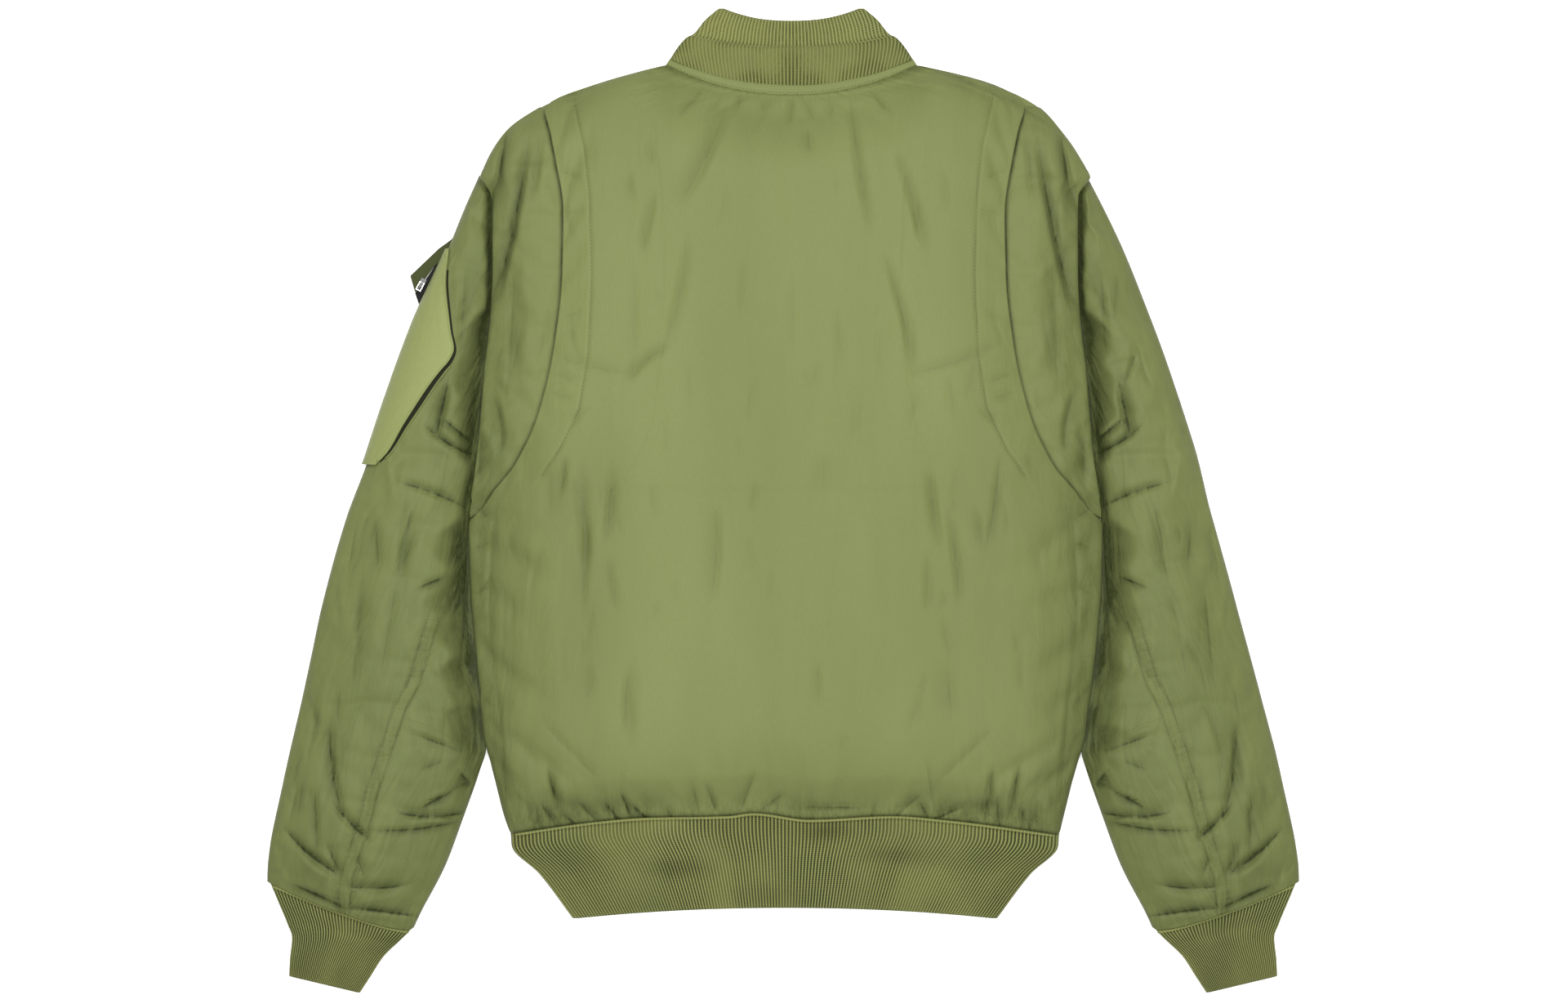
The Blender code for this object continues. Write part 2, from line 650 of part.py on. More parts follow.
def sleeve_height(ends, share, layer):
    """Height of the sleeve's outer face over the surface, for the top or the lower layer."""
    middle = MIDDLE * ends.thick
    bend = abs(2.0 * share - 1.0)
    if layer > 0:
        full = (1.0 - bend**2.3) ** 0.55
        return middle + EDGE_LAYER + (ends.thick - middle - EDGE_LAYER) * full
    full = (1.0 - bend**7.0) ** 0.6
    return (middle - EDGE_LAYER) * (1.0 - full)


def pocket_lift(section, share):
    """How far the left sleeve's underside is held up by the pocket that lies under it."""
    first = math.floor(section)
    if section > first:
        ends = pocket_lift(first, share), pocket_lift(first + 1, share)
        return lerp(*ends, section - first)
    along = min(rise(section - LIFT_FROM, LIFT_EASE), rise(LIFT_TO - section, LIFT_EASE))
    across = rise(share - POCKET_WRAP + LIFT_BESIDE, LIFT_ACROSS)
    return POCKET_LIFT * along * across


def sleeve_point(section, share, layer, side, pocketed):
    """A point of the sleeve's outer face."""
    ends = sleeve_at(section)
    x, y = sleeve_place(ends, share, side)
    z = sleeve_height(ends, share, layer)
    if layer > 0:
        z = max(z - fold_depth(x, y, FOLDS + VALLEYS), MIDDLE * ends.thick + EDGE_LAYER)
    elif pocketed:
        z = min(z + pocket_lift(section, share), MIDDLE * ends.thick - EDGE_LAYER)
    return x, y, z


def sleeve_panel(name, side, columns, rows, outer):
    """A sleeve panel folded round its edge, from the seam on top to the seam underneath."""
    pocketed = side < 0 and outer
    outside, inside = [], []
    for number in rows:
        ends = sleeve_at(number)
        width = ends.out_half - ends.in_half
        middle = MIDDLE * ends.thick
        gap = SEAM / 2 / width
        start = ends.seam + (gap if outer else -gap)
        finish = 1.0 if outer else 0.0
        wall = min(SLEEVE_FOLD / width, abs(finish - start) / 2)
        shrink = 1.0 - wall / abs(finish - start)
        out_row, in_row = [], []
        steps = [(q, 1) for q in columns] + [(1.0, 0)] + [(q, -1) for q in reversed(columns)]
        for q, layer in steps:
            share = lerp(start, finish, q)
            within = lerp(start, finish, q * shrink)
            if layer:
                out_row.append(sleeve_point(number, share, layer, side, pocketed))
                x, y = sleeve_place(ends, within, side)
                in_row.append((x, y, middle + layer * SLIT / 2))
            else:
                way = 1.0 if outer else -1.0
                x, y = sleeve_place(ends, share + way * EDGE_BULGE / width, side)
                out_row.append((x, y, middle))
                x, y = sleeve_place(ends, within + way * SLIT_BULGE / width, side)
                in_row.append((x, y, middle))
        outside.append(out_row)
        inside.append(in_row)
    return cloth(name, outside, inside, OLIVE)


def cuff_place(row, share):
    """X and Y at a share of the cuff's width, 0 at the inner edge and 1 at the outer."""
    x, y = lerp(row.in_half, row.out_half, share), lerp(row.in_y, row.out_y, share)
    return x, y - row.droop * sag(share)


def cuff(name, side):
    """The rib cuff: a flattened tube with its joining seam on the underside."""
    under = [s for s in CUFF_COLUMNS if s > CUFF_JOIN]
    rest = [s for s in CUFF_COLUMNS if s <= CUFF_JOIN]
    outside, inside = [], []
    for row in CUFF:
        width = row.out_half - row.in_half
        middle = (row.low + row.high) / 2
        ends = (CUFF_JOIN, CUFF_JOIN - SEAM / width)
        around = [(ends[0], -1)] + [(s, -1) for s in under] + [(1.0, 0)]
        around += [(s, 1) for s in reversed(CUFF_COLUMNS)] + [(0.0, 0)]
        around += [(s, -1) for s in rest] + [(ends[1], -1)]
        out_row, in_row = [], []
        for share, layer in around:
            out_z, in_z = band_heights(layer, row.low, row.high)
            x, y = cuff_place(row, share)
            out_row.append((side * x, y, out_z))
            within = share if share in ends else lerp(RIB / width, 1.0 - RIB / width, share)
            x, y = cuff_place(row, within)
            in_row.append((side * x, y, in_z))
        outside.append(out_row)
        inside.append(in_row)
    return cloth(name, outside, inside, KNIT)


def pocket_point(section, share, layer, away):
    """A point at a distance from the left sleeve's face, outwards."""
    step = 0.01
    x, y, z = sleeve_point(section, share, layer, -1, layer < 0)
    ends = sleeve_at(section)
    width = ends.out_half - ends.in_half
    near = max(min(share, 1.0 - step), step)
    slope = sleeve_height(ends, near + step, layer) - sleeve_height(ends, near - step, layer)
    slope = slope / (2 * step * width)
    size = math.hypot(slope, 1.0)
    outward = -slope / size if layer > 0 else slope / size
    if layer < 0:
        return x - away * max(outward, 0.0), y, max(z - away, 0.0)
    return x - away * outward, y, z + away / size


def pocket_panel():
    """The sleeve pocket's cloth, from its inner edge round the sleeve's fold to its hidden edge."""
    steps = [(q, 1) for q in POCKET_TOP_COLUMNS] + [(0.0, 0)]
    steps += [(q, -1) for q in POCKET_UNDER_COLUMNS]
    outside, inside = [], []
    for row in POCKET:
        ends = sleeve_at(row.section)
        for grid, thick in ((outside, POCKET_CLOTH), (inside, 0.0)):
            away = row.stand + thick
            points = []
            for q, layer in steps:
                if layer == 0:
                    x, y = sleeve_place(ends, 1.0, -1)
                    points.append((x - EDGE_BULGE - away, y, MIDDLE * ends.thick))
                    continue
                start, reach = row.edge, away
                if layer < 0:
                    start, reach = POCKET_WRAP, POCKET_LIFT - POCKET_CLOTH + thick
                share = lerp(start, POCKET_FOLD, q)
                points.append(pocket_point(row.section, share, layer, reach))
            grid.append(points)
    return cloth("sleeve_pocket_panel", outside, inside, OLIVE)


def pocket_gusset():
    """The narrow strip between the sleeve and the pocket's inner edge."""
    outside, inside = [], []
    for row in POCKET:
        if row.stand < 2 * GUSSET_CLEAR + 1.0:
            continue
        first = row.edge + GUSSET_INSET
        steps = (first, first + GUSSET_WIDE)
        for grid, away in ((outside, row.stand - GUSSET_CLEAR), (inside, GUSSET_CLEAR)):
            grid.append([pocket_point(row.section, share, 1, away) for share in steps])
    return cloth("sleeve_pocket_gusset", outside, inside, OLIVE_DARK)


def plate(name, corners, thick, finish):
    """A thin piece with the given corners of its top face, made thick downwards."""
    mesh = bmesh.new()
    top = [mesh.verts.new([c * MM for c in p]) for p in corners]
    low = [mesh.verts.new([p[0] * MM, p[1] * MM, (p[2] - thick) * MM]) for p in corners]
    mesh.faces.new(top)
    mesh.faces.new(list(reversed(low)))
    for k in range(len(top)):
        m = (k + 1) % len(top)
        mesh.faces.new((top[k], low[k], low[m], top[m]))
    bmesh.ops.recalc_face_normals(mesh, faces=mesh.faces)
    return finished(name, mesh, finish)


def front_zip_chain():
    """Closed tapes and teeth in the channel between the fronts, down through the hem rib."""
    outside, inside = [], []
    edges = [ZIP_SHIFT - ZIP_HALF, ZIP_SHIFT, ZIP_SHIFT + ZIP_HALF]
    for row in ZIP_CHAIN:
        outside.append([(x, row.y, row.low) for x in edges])
        inside.append([(x, row.y, row.low + ZIP_THICK) for x in edges])
    return cloth("front_zip_chain", outside, inside, TAPE)


def bar(mesh, centre, size):
    """Adds a box to a mesh."""
    made = bmesh.ops.create_cube(mesh, size=1.0)
    for v in made["verts"]:
        v.co = [(c + s * p) * MM for c, s, p in zip(centre, size, v.co)]


def union(name, boxes, finish, place, turn):
    """One solid from boxes that overlap, placed by its object's location and rotation."""
    base = None
    for number, (centre, size) in enumerate(boxes):
        mesh = bmesh.new()
        bar(mesh, centre, size)
        label = name if number == 0 else f"{name}_cut{number}"
        thing = finished(label, mesh, finish)
        if number == 0:
            base = thing
            continue
        thing.hide_render = True
        thing.display_type = "WIRE"
        join = base.modifiers.new(f"join{number}", "BOOLEAN")
        join.operation = "UNION"
        join.object = thing
        thing.parent = base
    base.location = [c * MM for c in place]
    base.rotation_euler = turn
    return base


def slider(name, s, place, turn):
    """A zip slider: plate, and a bail that holds the pull's bar."""
    overlap = BAIL_OVERLAP
    height = s.bail + s.post
    boxes = [((0, 0, s.thick / 2), (s.wide, s.long, s.thick))]
    for end in (-1, 1):
        y = end * s.apart / 2 + end * s.post / 2
        centre = (0, y, s.thick + height / 2 - overlap)
        boxes.append((centre, (s.post * 2, s.post, height + overlap)))
    bridge = s.thick + s.bail + s.post / 2 - overlap
    boxes.append(((0, 0, bridge), (s.post * 2, s.apart + 2 * s.post, s.post)))
    return union(name, boxes, STEEL, place, turn)


def pull_axis(s, place, up):
    """Where the pull's bar turns in the bail of a slider at a place, facing up or down."""
    inside = s.bail - BAIL_OVERLAP
    return place[0], place[1], place[2] + up * (s.thick + inside / 2)


def pull(name, s, place, turn):
    """A looped pull, with its origin on the bar that turns in the bail."""
    half = s.pull_wide / 2
    boxes = [((0, 0, 0), (s.pull_wide, s.wire, s.wire))]
    for end in (-1, 1):
        x = end * (half - s.wire / 2)
        boxes.append(((x, -s.pull_long / 2, 0), (s.wire, s.pull_long + s.wire, s.wire)))
    boxes.append(((0, -s.pull_long, 0), (s.pull_wide, s.wire, s.wire)))
    return union(name, boxes, STEEL, place, turn)


def main():
    """Builds every piece of the jacket."""
    clear_scene()
    back_centre()
    back_side("back_side_panel_left", -1)
    back_side("back_side_panel_right", 1)
    front("front_panel_left", -1)
    front("front_panel_right", 1)
    neck_strip()
    collar_rib()
    hem_rib()
    last = len(SLEEVE) - 1
    for label, side in (("left", -1), ("right", 1)):
        rows = list(range(last + 1))
        sleeve_panel(f"sleeve_outer_{label}", side, OUTER_COLUMNS, rows, True)
        sleeve_panel(f"sleeve_under_{label}", side, UNDER_COLUMNS, rows[FIRST_UNDER:], False)
        cuff(f"cuff_rib_{label}", side)
    pocket_panel()
    pocket_gusset()
    plate("sleeve_pocket_flap", POCKET_FLAP, FLAP_THICK, OLIVE)
    plate("sleeve_pocket_zip_tape", POCKET_TAPE, TAPE_THICK, TAPE)
    slider("sleeve_pocket_slider", POCKET_SLIDER, POCKET_ZIP_AT, POCKET_ZIP_TURN)
    bar_at = pull_axis(POCKET_SLIDER, POCKET_ZIP_AT, 1)
    pull("sleeve_pocket_pull", POCKET_SLIDER, bar_at, POCKET_ZIP_TURN)
    front_zip_chain()
    place = (ZIP_SHIFT, FRONT_SLIDER_Y, ZIP_HEIGHT - SEAM)
    slider("front_zip_slider", FRONT_SLIDER, place, UNDERNEATH)
    pull("front_zip_pull", FRONT_SLIDER, pull_axis(FRONT_SLIDER, place, -1), UNDERNEATH)


main()
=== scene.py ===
"""Looks of a padded bomber jacket that lies flat with its back upwards.

The jacket's soft panels are grown on the same sizes as its solids, puffed by a cloth
simulation, creased by folds and finished in crinkled nylon and rib knit.
Tables are in millimetres: X runs across, Y from the hem to the collar and Z up.
"""

from __future__ import annotations

import json
import logging
import math
from dataclasses import dataclass, field
from enum import Enum
from typing import Callable, Sequence

import bpy
import numpy as np
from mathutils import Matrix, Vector

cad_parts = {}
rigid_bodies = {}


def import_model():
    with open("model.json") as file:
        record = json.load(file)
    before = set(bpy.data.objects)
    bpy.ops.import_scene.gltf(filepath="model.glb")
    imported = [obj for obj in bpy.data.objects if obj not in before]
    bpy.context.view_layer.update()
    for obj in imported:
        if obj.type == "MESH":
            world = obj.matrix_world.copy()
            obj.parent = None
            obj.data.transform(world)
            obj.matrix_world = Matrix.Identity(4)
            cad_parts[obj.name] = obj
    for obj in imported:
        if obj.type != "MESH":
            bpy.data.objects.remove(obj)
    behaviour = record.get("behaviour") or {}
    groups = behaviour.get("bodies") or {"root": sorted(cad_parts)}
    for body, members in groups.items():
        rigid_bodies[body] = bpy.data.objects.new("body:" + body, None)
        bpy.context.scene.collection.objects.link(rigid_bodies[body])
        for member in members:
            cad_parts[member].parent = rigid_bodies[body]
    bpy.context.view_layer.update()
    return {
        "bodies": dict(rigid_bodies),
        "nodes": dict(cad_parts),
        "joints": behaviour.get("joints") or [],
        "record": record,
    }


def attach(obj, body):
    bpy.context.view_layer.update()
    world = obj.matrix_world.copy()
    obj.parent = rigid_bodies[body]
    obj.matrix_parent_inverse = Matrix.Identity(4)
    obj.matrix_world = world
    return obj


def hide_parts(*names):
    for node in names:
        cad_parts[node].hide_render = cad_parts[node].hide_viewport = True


LOG = logging.getLogger("jacket")
MM = 0.001
SEAM = 0.3
# How far from the line of a fold or seam the cloth is drawn pinched.
LINE_SEEN = 4.4
SIDES = (("left", -1), ("right", 1))
Array = np.ndarray
Thing = bpy.types.Object
Material = bpy.types.Material
Socket = bpy.types.NodeSocket
Colour = tuple[float, float, float]
Point = tuple[float, float]
Row = tuple[float, ...]
Table = tuple[Row, ...]
Creased = tuple[Array, dict[str, Array]]


class Layer(Enum):
    """Which side of a flattened piece a surface is on."""

    TOP = 1
    UNDER = -1


# ---- numbers and lines


def unit(value: Array) -> Array:
    """A value kept between 0 and 1."""
    return np.clip(value, 0.0, 1.0)


def positive(value: Array) -> Array:
    """A value, or 0 where it is below 0."""
    return np.clip(value, 0.0, None)


def bell(distance: Array, width: float | Array) -> Array:
    """1 at no distance, and fading to 0 beyond a width."""
    return np.exp(-((distance / width) ** 2))


def grid(*parts: Array | float) -> Array:
    """Coordinates side by side, each spread over the same rows and columns."""
    return np.stack(np.broadcast_arrays(*parts), -1)


def smooth(table: Sequence[Row], at: Array, column: int) -> Array:
    """A table's column at some places, on curves that never overshoot its rows.

    Args:
        table: Rows whose first value is the place.
        at: Places to read.
        column: Which value of the rows to read.

    Returns:
        The values, held at the ends of the table.
    """
    rows = np.array(sorted(table), float)
    xs, ys = rows[:, 0], rows[:, column]
    steps = np.diff(xs)
    slopes = np.diff(ys) / steps
    tangents = np.zeros_like(ys)
    same = slopes[:-1] * slopes[1:] > 0
    total = np.where(same, slopes[:-1] + slopes[1:], 1.0)
    tangents[1:-1] = np.where(same, 2 * slopes[:-1] * slopes[1:] / total, 0.0)
    tangents[0], tangents[-1] = slopes[0], slopes[-1]
    at = np.clip(at, xs[0], xs[-1])
    k = np.clip(np.searchsorted(xs, at) - 1, 0, len(steps) - 1)
    t = (at - xs[k]) / steps[k]
    start, end = tangents[k] * steps[k], tangents[k + 1] * steps[k]
    low, high = ys[k], ys[k + 1]
    cubic = (2 * t**3 - 3 * t**2 + 1) * low + (t**3 - 2 * t**2 + t) * start
    return cubic + (3 * t**2 - 2 * t**3) * high + (t**3 - t**2) * end


def quarter(distance: Array, reach: float) -> Array:
    """A quarter circle that is 0 at the edge and 1 from reach inwards."""
    left = 1.0 - unit(distance / reach)
    return np.sqrt(1.0 - left * left)


def sag(share: Array) -> Array:
    """How a section droops across its width, most of it nearer to the inner end."""
    share = unit(share)
    return (1.0 - share) * np.sqrt(share)


def mottle(x: Array, y: Array, seed: int) -> Array:
    """Smooth random values from -1 to 1 over a plane, one hump per unit."""
    size = 64
    lattice = np.random.default_rng(seed).uniform(-1.0, 1.0, (size, size))
    column, row = np.floor(x).astype(int), np.floor(y).astype(int)
    u, v = x - column, y - row
    u, v = u * u * (3 - 2 * u), v * v * (3 - 2 * v)

    def at(i: Array, j: Array) -> Array:
        """The lattice's value at whole places, which repeat."""
        return lattice[np.mod(i, size), np.mod(j, size)]

    low = at(column, row) * (1 - u) + at(column + 1, row) * u
    high = at(column, row + 1) * (1 - u) + at(column + 1, row + 1) * u
    return low * (1 - v) + high * v


def ripples(x: Array, y: Array, waves: Sequence[Row]) -> Array:
    """The sum of mottles, each given by its height, its humps' width and length, and its seed."""
    return sum(high * mottle(x / wide, y / long, seed) for high, wide, long, seed in waves)


def to_line(x: Array, y: Array, line: Sequence[Point]) -> tuple[Array, Array, Array]:
    """How places lie against a line.

    Args:
        x: Places across.
        y: Places along.
        line: The line's corners.

    Returns:
        Distance to the line, the nearest share of its length, and the side.
    """
    corners = np.array(line, float)
    lengths = np.hypot(*np.diff(corners, axis=0).T)
    before = np.concatenate([[0.0], np.cumsum(lengths)])
    best = np.full(x.shape, 1e9)
    share, side = np.zeros(x.shape), np.zeros(x.shape)
    for k, length in enumerate(lengths):
        (ax, ay), (bx, by) = corners[k], corners[k + 1]
        dx, dy = (bx - ax) / length, (by - ay) / length
        along = np.clip((x - ax) * dx + (y - ay) * dy, 0.0, length)
        off = np.hypot(x - ax - along * dx, y - ay - along * dy)
        near = off < best
        best = np.where(near, off, best)
        share = np.where(near, (before[k] + along) / before[-1], share)
        side = np.where(near, np.sign(dx * (y - ay) - dy * (x - ax)), side)
    return best, share, side


def run_along(path: Array) -> Array:
    """Length of a line from its start to each of its points."""
    return np.concatenate([[0.0], np.cumsum(np.linalg.norm(np.diff(path, axis=0), axis=1))])


def spread(corners: Sequence[Row], count: int) -> Array:
    """Points at even distances along a line of corners."""
    corners = np.array(corners, float)
    run = run_along(corners[:, :2])
    at = np.linspace(0.0, run[-1], count)
    return np.stack([np.interp(at, run, column) for column in corners.T], -1)


def directions(path: Array) -> Array:
    """Unit vectors along a line at each of its points."""
    ahead = np.gradient(path, axis=0)
    return ahead / np.linalg.norm(ahead, axis=1, keepdims=True)


# ---- meshes


def made_mesh(name: str, points: Array, faces: list[Row], uv: Array | None = None) -> Thing:
    """A smooth-shaded object from points in millimetres, faces and a UV for each point."""
    data = bpy.data.meshes.new(name)
    data.from_pydata((points * MM).tolist(), [], faces)
    if uv is not None:
        corner = np.zeros(len(data.loops), np.int32)
        data.loops.foreach_get("vertex_index", corner)
        data.uv_layers.new(name="cut").data.foreach_set("uv", uv[corner].ravel())
    data.shade_smooth()
    thing = bpy.data.objects.new(name, data)
    bpy.context.scene.collection.objects.link(thing)
    return thing


def lengths_uv(outer: Array) -> Array:
    """UVs in metres for a grid: along its columns and along its rows."""
    across = np.linalg.norm(np.diff(outer, axis=1), axis=2)
    along = np.linalg.norm(np.diff(outer, axis=0), axis=2)
    u = np.pad(np.cumsum(across, 1), ((0, 0), (1, 0)))
    v = np.pad(np.cumsum(along, 0), ((1, 0), (0, 0)))
    return grid(u - u.mean(axis=1, keepdims=True), v) * MM


def shell(name: str, outer: Array, inner: Array, uv: Array | None = None) -> Thing:
    """A closed piece of cloth between an outer and an inner face.

    Args:
        name: The piece's name.
        outer: Points of the outer face, as rows and columns, in millimetres.
        inner: Points of the inner face, in the same rows and columns.
        uv: Place of each point on the flat cut, or None to measure it on the outer face.

    Returns:
        The new object, with its faces outwards and its rim creased.
    """
    rows, columns = outer.shape[:2]
    far = rows * columns
    number = np.arange(far).reshape(rows, columns)
    corners = [number[:-1, :-1], number[:-1, 1:], number[1:, 1:], number[1:, :-1]]
    quads = np.stack(corners, -1).reshape(-1, 4)
    rim = np.concatenate([number[:-1, 0], number[-1, :-1], number[:0:-1, -1], number[0, :0:-1]])
    ahead = np.roll(rim, -1)
    walls = np.stack([rim, ahead, ahead + far, rim + far], -1)
    faces = np.concatenate([quads, quads[:, ::-1] + far, walls])
    points = np.concatenate([outer.reshape(-1, 3), inner.reshape(-1, 3)])
    a, b, c, d = (points[faces[:, k]] for k in range(4))
    if np.einsum("ij,ij->", a, np.cross(b, c) + np.cross(c, d)) < 0:
        faces = faces[:, ::-1]
    flat = (lengths_uv(outer) if uv is None else uv).reshape(-1, 2)
    thing = made_mesh(name, points, faces.tolist(), np.concatenate([flat, flat]))
    crease_rim(thing.data, rim, far)
    return thing


def crease_rim(data: bpy.types.Mesh, rim: Array, far: int) -> None:
    """Keeps the edges of a shell's two faces sharp when it is subdivided."""
    ends = np.zeros(len(data.edges) * 2, np.int32)
    data.edges.foreach_get("vertices", ends)
    first, second = ends.reshape(-1, 2).T
    on_rim = np.zeros(far * 2, bool)
    on_rim[np.concatenate([rim, rim + far])] = True
    loop = on_rim[first] & on_rim[second] & ((first < far) == (second < far))
    crease = data.attributes.new("crease_edge", "FLOAT", "EDGE")
    crease.data.foreach_set("value", loop.astype(np.float32))
    data.set_sharp_from_angle(angle=math.radians(60))


def strip_between(name: str, upper: Array, lower: Array, across: int, thick: float) -> Thing:
    """A thin flat piece between two edges with as many points each, made thick downwards."""
    share = np.linspace(0.0, 1.0, across)[None, :, None]
    face = upper[:, None, :] + (lower - upper)[:, None, :] * share
    return shell(name, face, face - np.array([0.0, 0.0, thick]))


def tube(name: str, path: Array, radius: float, ribs: Array | None = None, sides: int = 8) -> Thing:
    """A thin rolled edge along a line that lies nearly flat.

    Args:
        name: The piece's name.
        path: Points along it, in millimetres.
        radius: Half its thickness.
        ribs: Number of the knit's rib at each point, or None for plain cloth.
        sides: Points round it.

    Returns:
        The new object, closed at both ends.
    """
    ahead = directions(path)
    beside = np.cross([0.0, 0.0, 1.0], ahead)
    beside /= np.linalg.norm(beside, axis=1, keepdims=True)
    up = np.cross(ahead, beside)
    turn = np.arange(sides) / sides * 2 * math.pi
    across, high = np.cos(turn)[None, :, None], np.sin(turn)[None, :, None]
    ring = beside[:, None, :] * across + up[:, None, :] * high
    points = (path[:, None, :] + ring * radius).reshape(-1, 3)
    number = np.arange(len(path) * sides).reshape(len(path), sides)
    after = np.roll(number, -1, axis=1)
    quads = np.stack([number[:-1], after[:-1], after[1:], number[1:]], -1).reshape(-1, 4)
    faces = quads.tolist() + [number[0][::-1].tolist(), number[-1].tolist()]
    along = run_along(path) * MM if ribs is None else ribs
    uv = grid(along[:, None], turn[None, :] * radius * MM).reshape(-1, 2)
    return made_mesh(name, points, faces, uv)


def vertex_values(data: bpy.types.Mesh, name: str) -> Array:
    """A vector of every point of a mesh, by its name in Blender."""
    flat = np.zeros(len(data.vertices) * 3, np.float32)
    data.vertices.foreach_get(name, flat)
    return flat.reshape(-1, 3).astype(float)


def coordinates(data: bpy.types.Mesh) -> Array:
    """A mesh's points, in millimetres."""
    return vertex_values(data, "co") / MM


def put(thing: Thing, points: Array) -> None:
    """Moves an object's points, given in millimetres."""
    thing.data.vertices.foreach_set("co", (points * MM).astype(np.float32).ravel())
    thing.data.update()


def note_points(thing: Thing, name: str, values: Array) -> None:
    """Keeps one number for each point of a mesh."""
    note = thing.data.attributes.new(name, "FLOAT", "POINT")
    note.data.foreach_set("value", values.astype(np.float32))


def deselect() -> None:
    """Leaves nothing selected."""
    bpy.ops.object.select_all(action="DESELECT")


def apply_modifiers(thing: Thing) -> None:
    """Applies all of an object's modifiers."""
    deselect()
    thing.select_set(True)
    bpy.context.view_layer.objects.active = thing
    for modifier in list(thing.modifiers):
        bpy.ops.object.modifier_apply(modifier=modifier.name)


def wear(thing: Thing, made: Material) -> None:
    """Gives an object one material."""
    thing.data.materials.clear()
    thing.data.materials.append(made)


def finish_piece(thing: Thing, material: Material, slot: str, nodes: Sequence[str] = ()) -> None:
    """Dresses a piece, lets it ride and hides the solids it stands for."""
    wear(thing, material)
    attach(thing, "jacket")
    if nodes:
        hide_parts(*nodes)
    LOG.info("%s: %d faces", thing.name, len(thing.data.polygons))


# ---- finishes


class Wiring:
    """Adds nodes to a node tree and joins them."""

    def __init__(self, tree: bpy.types.NodeTree) -> None:
        """Works on one tree."""
        self.tree = tree

    def join(self, value: object, socket: Socket) -> None:
        """Links another socket to a socket, or sets it to a value."""
        if isinstance(value, Socket):
            self.tree.links.new(value, socket)
        else:
            socket.default_value = value

    def add(self, kind: str, inputs: dict | None = None, **settings: object) -> bpy.types.Node:
        """A new node.

        Args:
            kind: The node's type, after the word that all types start with.
            inputs: Values or sockets for its inputs, by name or number.
            settings: Its other properties.

        Returns:
            The node.
        """
        node = self.tree.nodes.new(f"ShaderNode{kind}")
        for key, value in settings.items():
            setattr(node, key, value)
        for key, value in (inputs or {}).items():
            self.join(value, node.inputs[key])
        return node

    def math(self, operation: str, *values: object) -> Socket:
        """The result of a Math node on numbers or sockets."""
        return self.add("Math", dict(enumerate(values)), operation=operation).outputs[0]

    def times(self, a: object, b: object) -> Socket:
        """The product of two numbers."""
        return self.math("MULTIPLY", a, b)

    def plus(self, total: object, value: object, share: object) -> Socket:
        """A number with a share of another one added."""
        return self.math("ADD", total, self.times(value, share))

    def from_middle(self, value: Socket) -> Socket:
        """How far a value is from a half."""
        return self.math("ABSOLUTE", self.math("SUBTRACT", value, 0.5))

    def ridge(self, value: Socket, power: float) -> Socket:
        """Sharp ridges where a noise passes through its middle."""
        return self.math("POWER", self.math("SUBTRACT", 1.0, self.times(self.from_middle(value), 2.0)), power)

    def ramp(self, value: Socket, low: float, high: float) -> Socket:
        """A value stretched to 0 at low and 1 at high, with soft ends."""
        inputs = {"Value": value, "From Min": low, "From Max": high}
        return self.add("MapRange", inputs, interpolation_type="SMOOTHSTEP").outputs[0]

    def noise(
        self, place: Socket, scale: object, detail: float, rough: float = 0.5, bent: float = 0.0
    ) -> Socket:
        """A noise's value at a place."""
        inputs = {"Vector": place, "Scale": scale, "Detail": detail, "Roughness": rough, "Distortion": bent}
        return self.add("TexNoise", inputs).outputs[0]

    def note(self, name: str) -> Socket:
        """A number kept for the points of the mesh."""
        return self.add("Attribute", attribute_name=name).outputs["Fac"]

    def cut(self) -> Socket:
        """The place on the flat cut."""
        return self.add("UVMap", uv_map="cut").outputs[0]

    def mix(self, share: object, a: object, b: Colour) -> Socket:
        """A colour between two colours."""
        node = self.add("Mix", data_type="RGBA")
        self.join(share, node.inputs[0])
        self.join(a if isinstance(a, Socket) else (*a, 1.0), node.inputs[6])
        self.join((*b, 1.0), node.inputs[7])
        return node.outputs[2]

    def bump(self, strength: float, deep: float, height: Socket) -> Socket:
        """A normal tilted by a height."""
        return self.add("Bump", {"Strength": strength, "Distance": deep, "Height": height}).outputs[0]


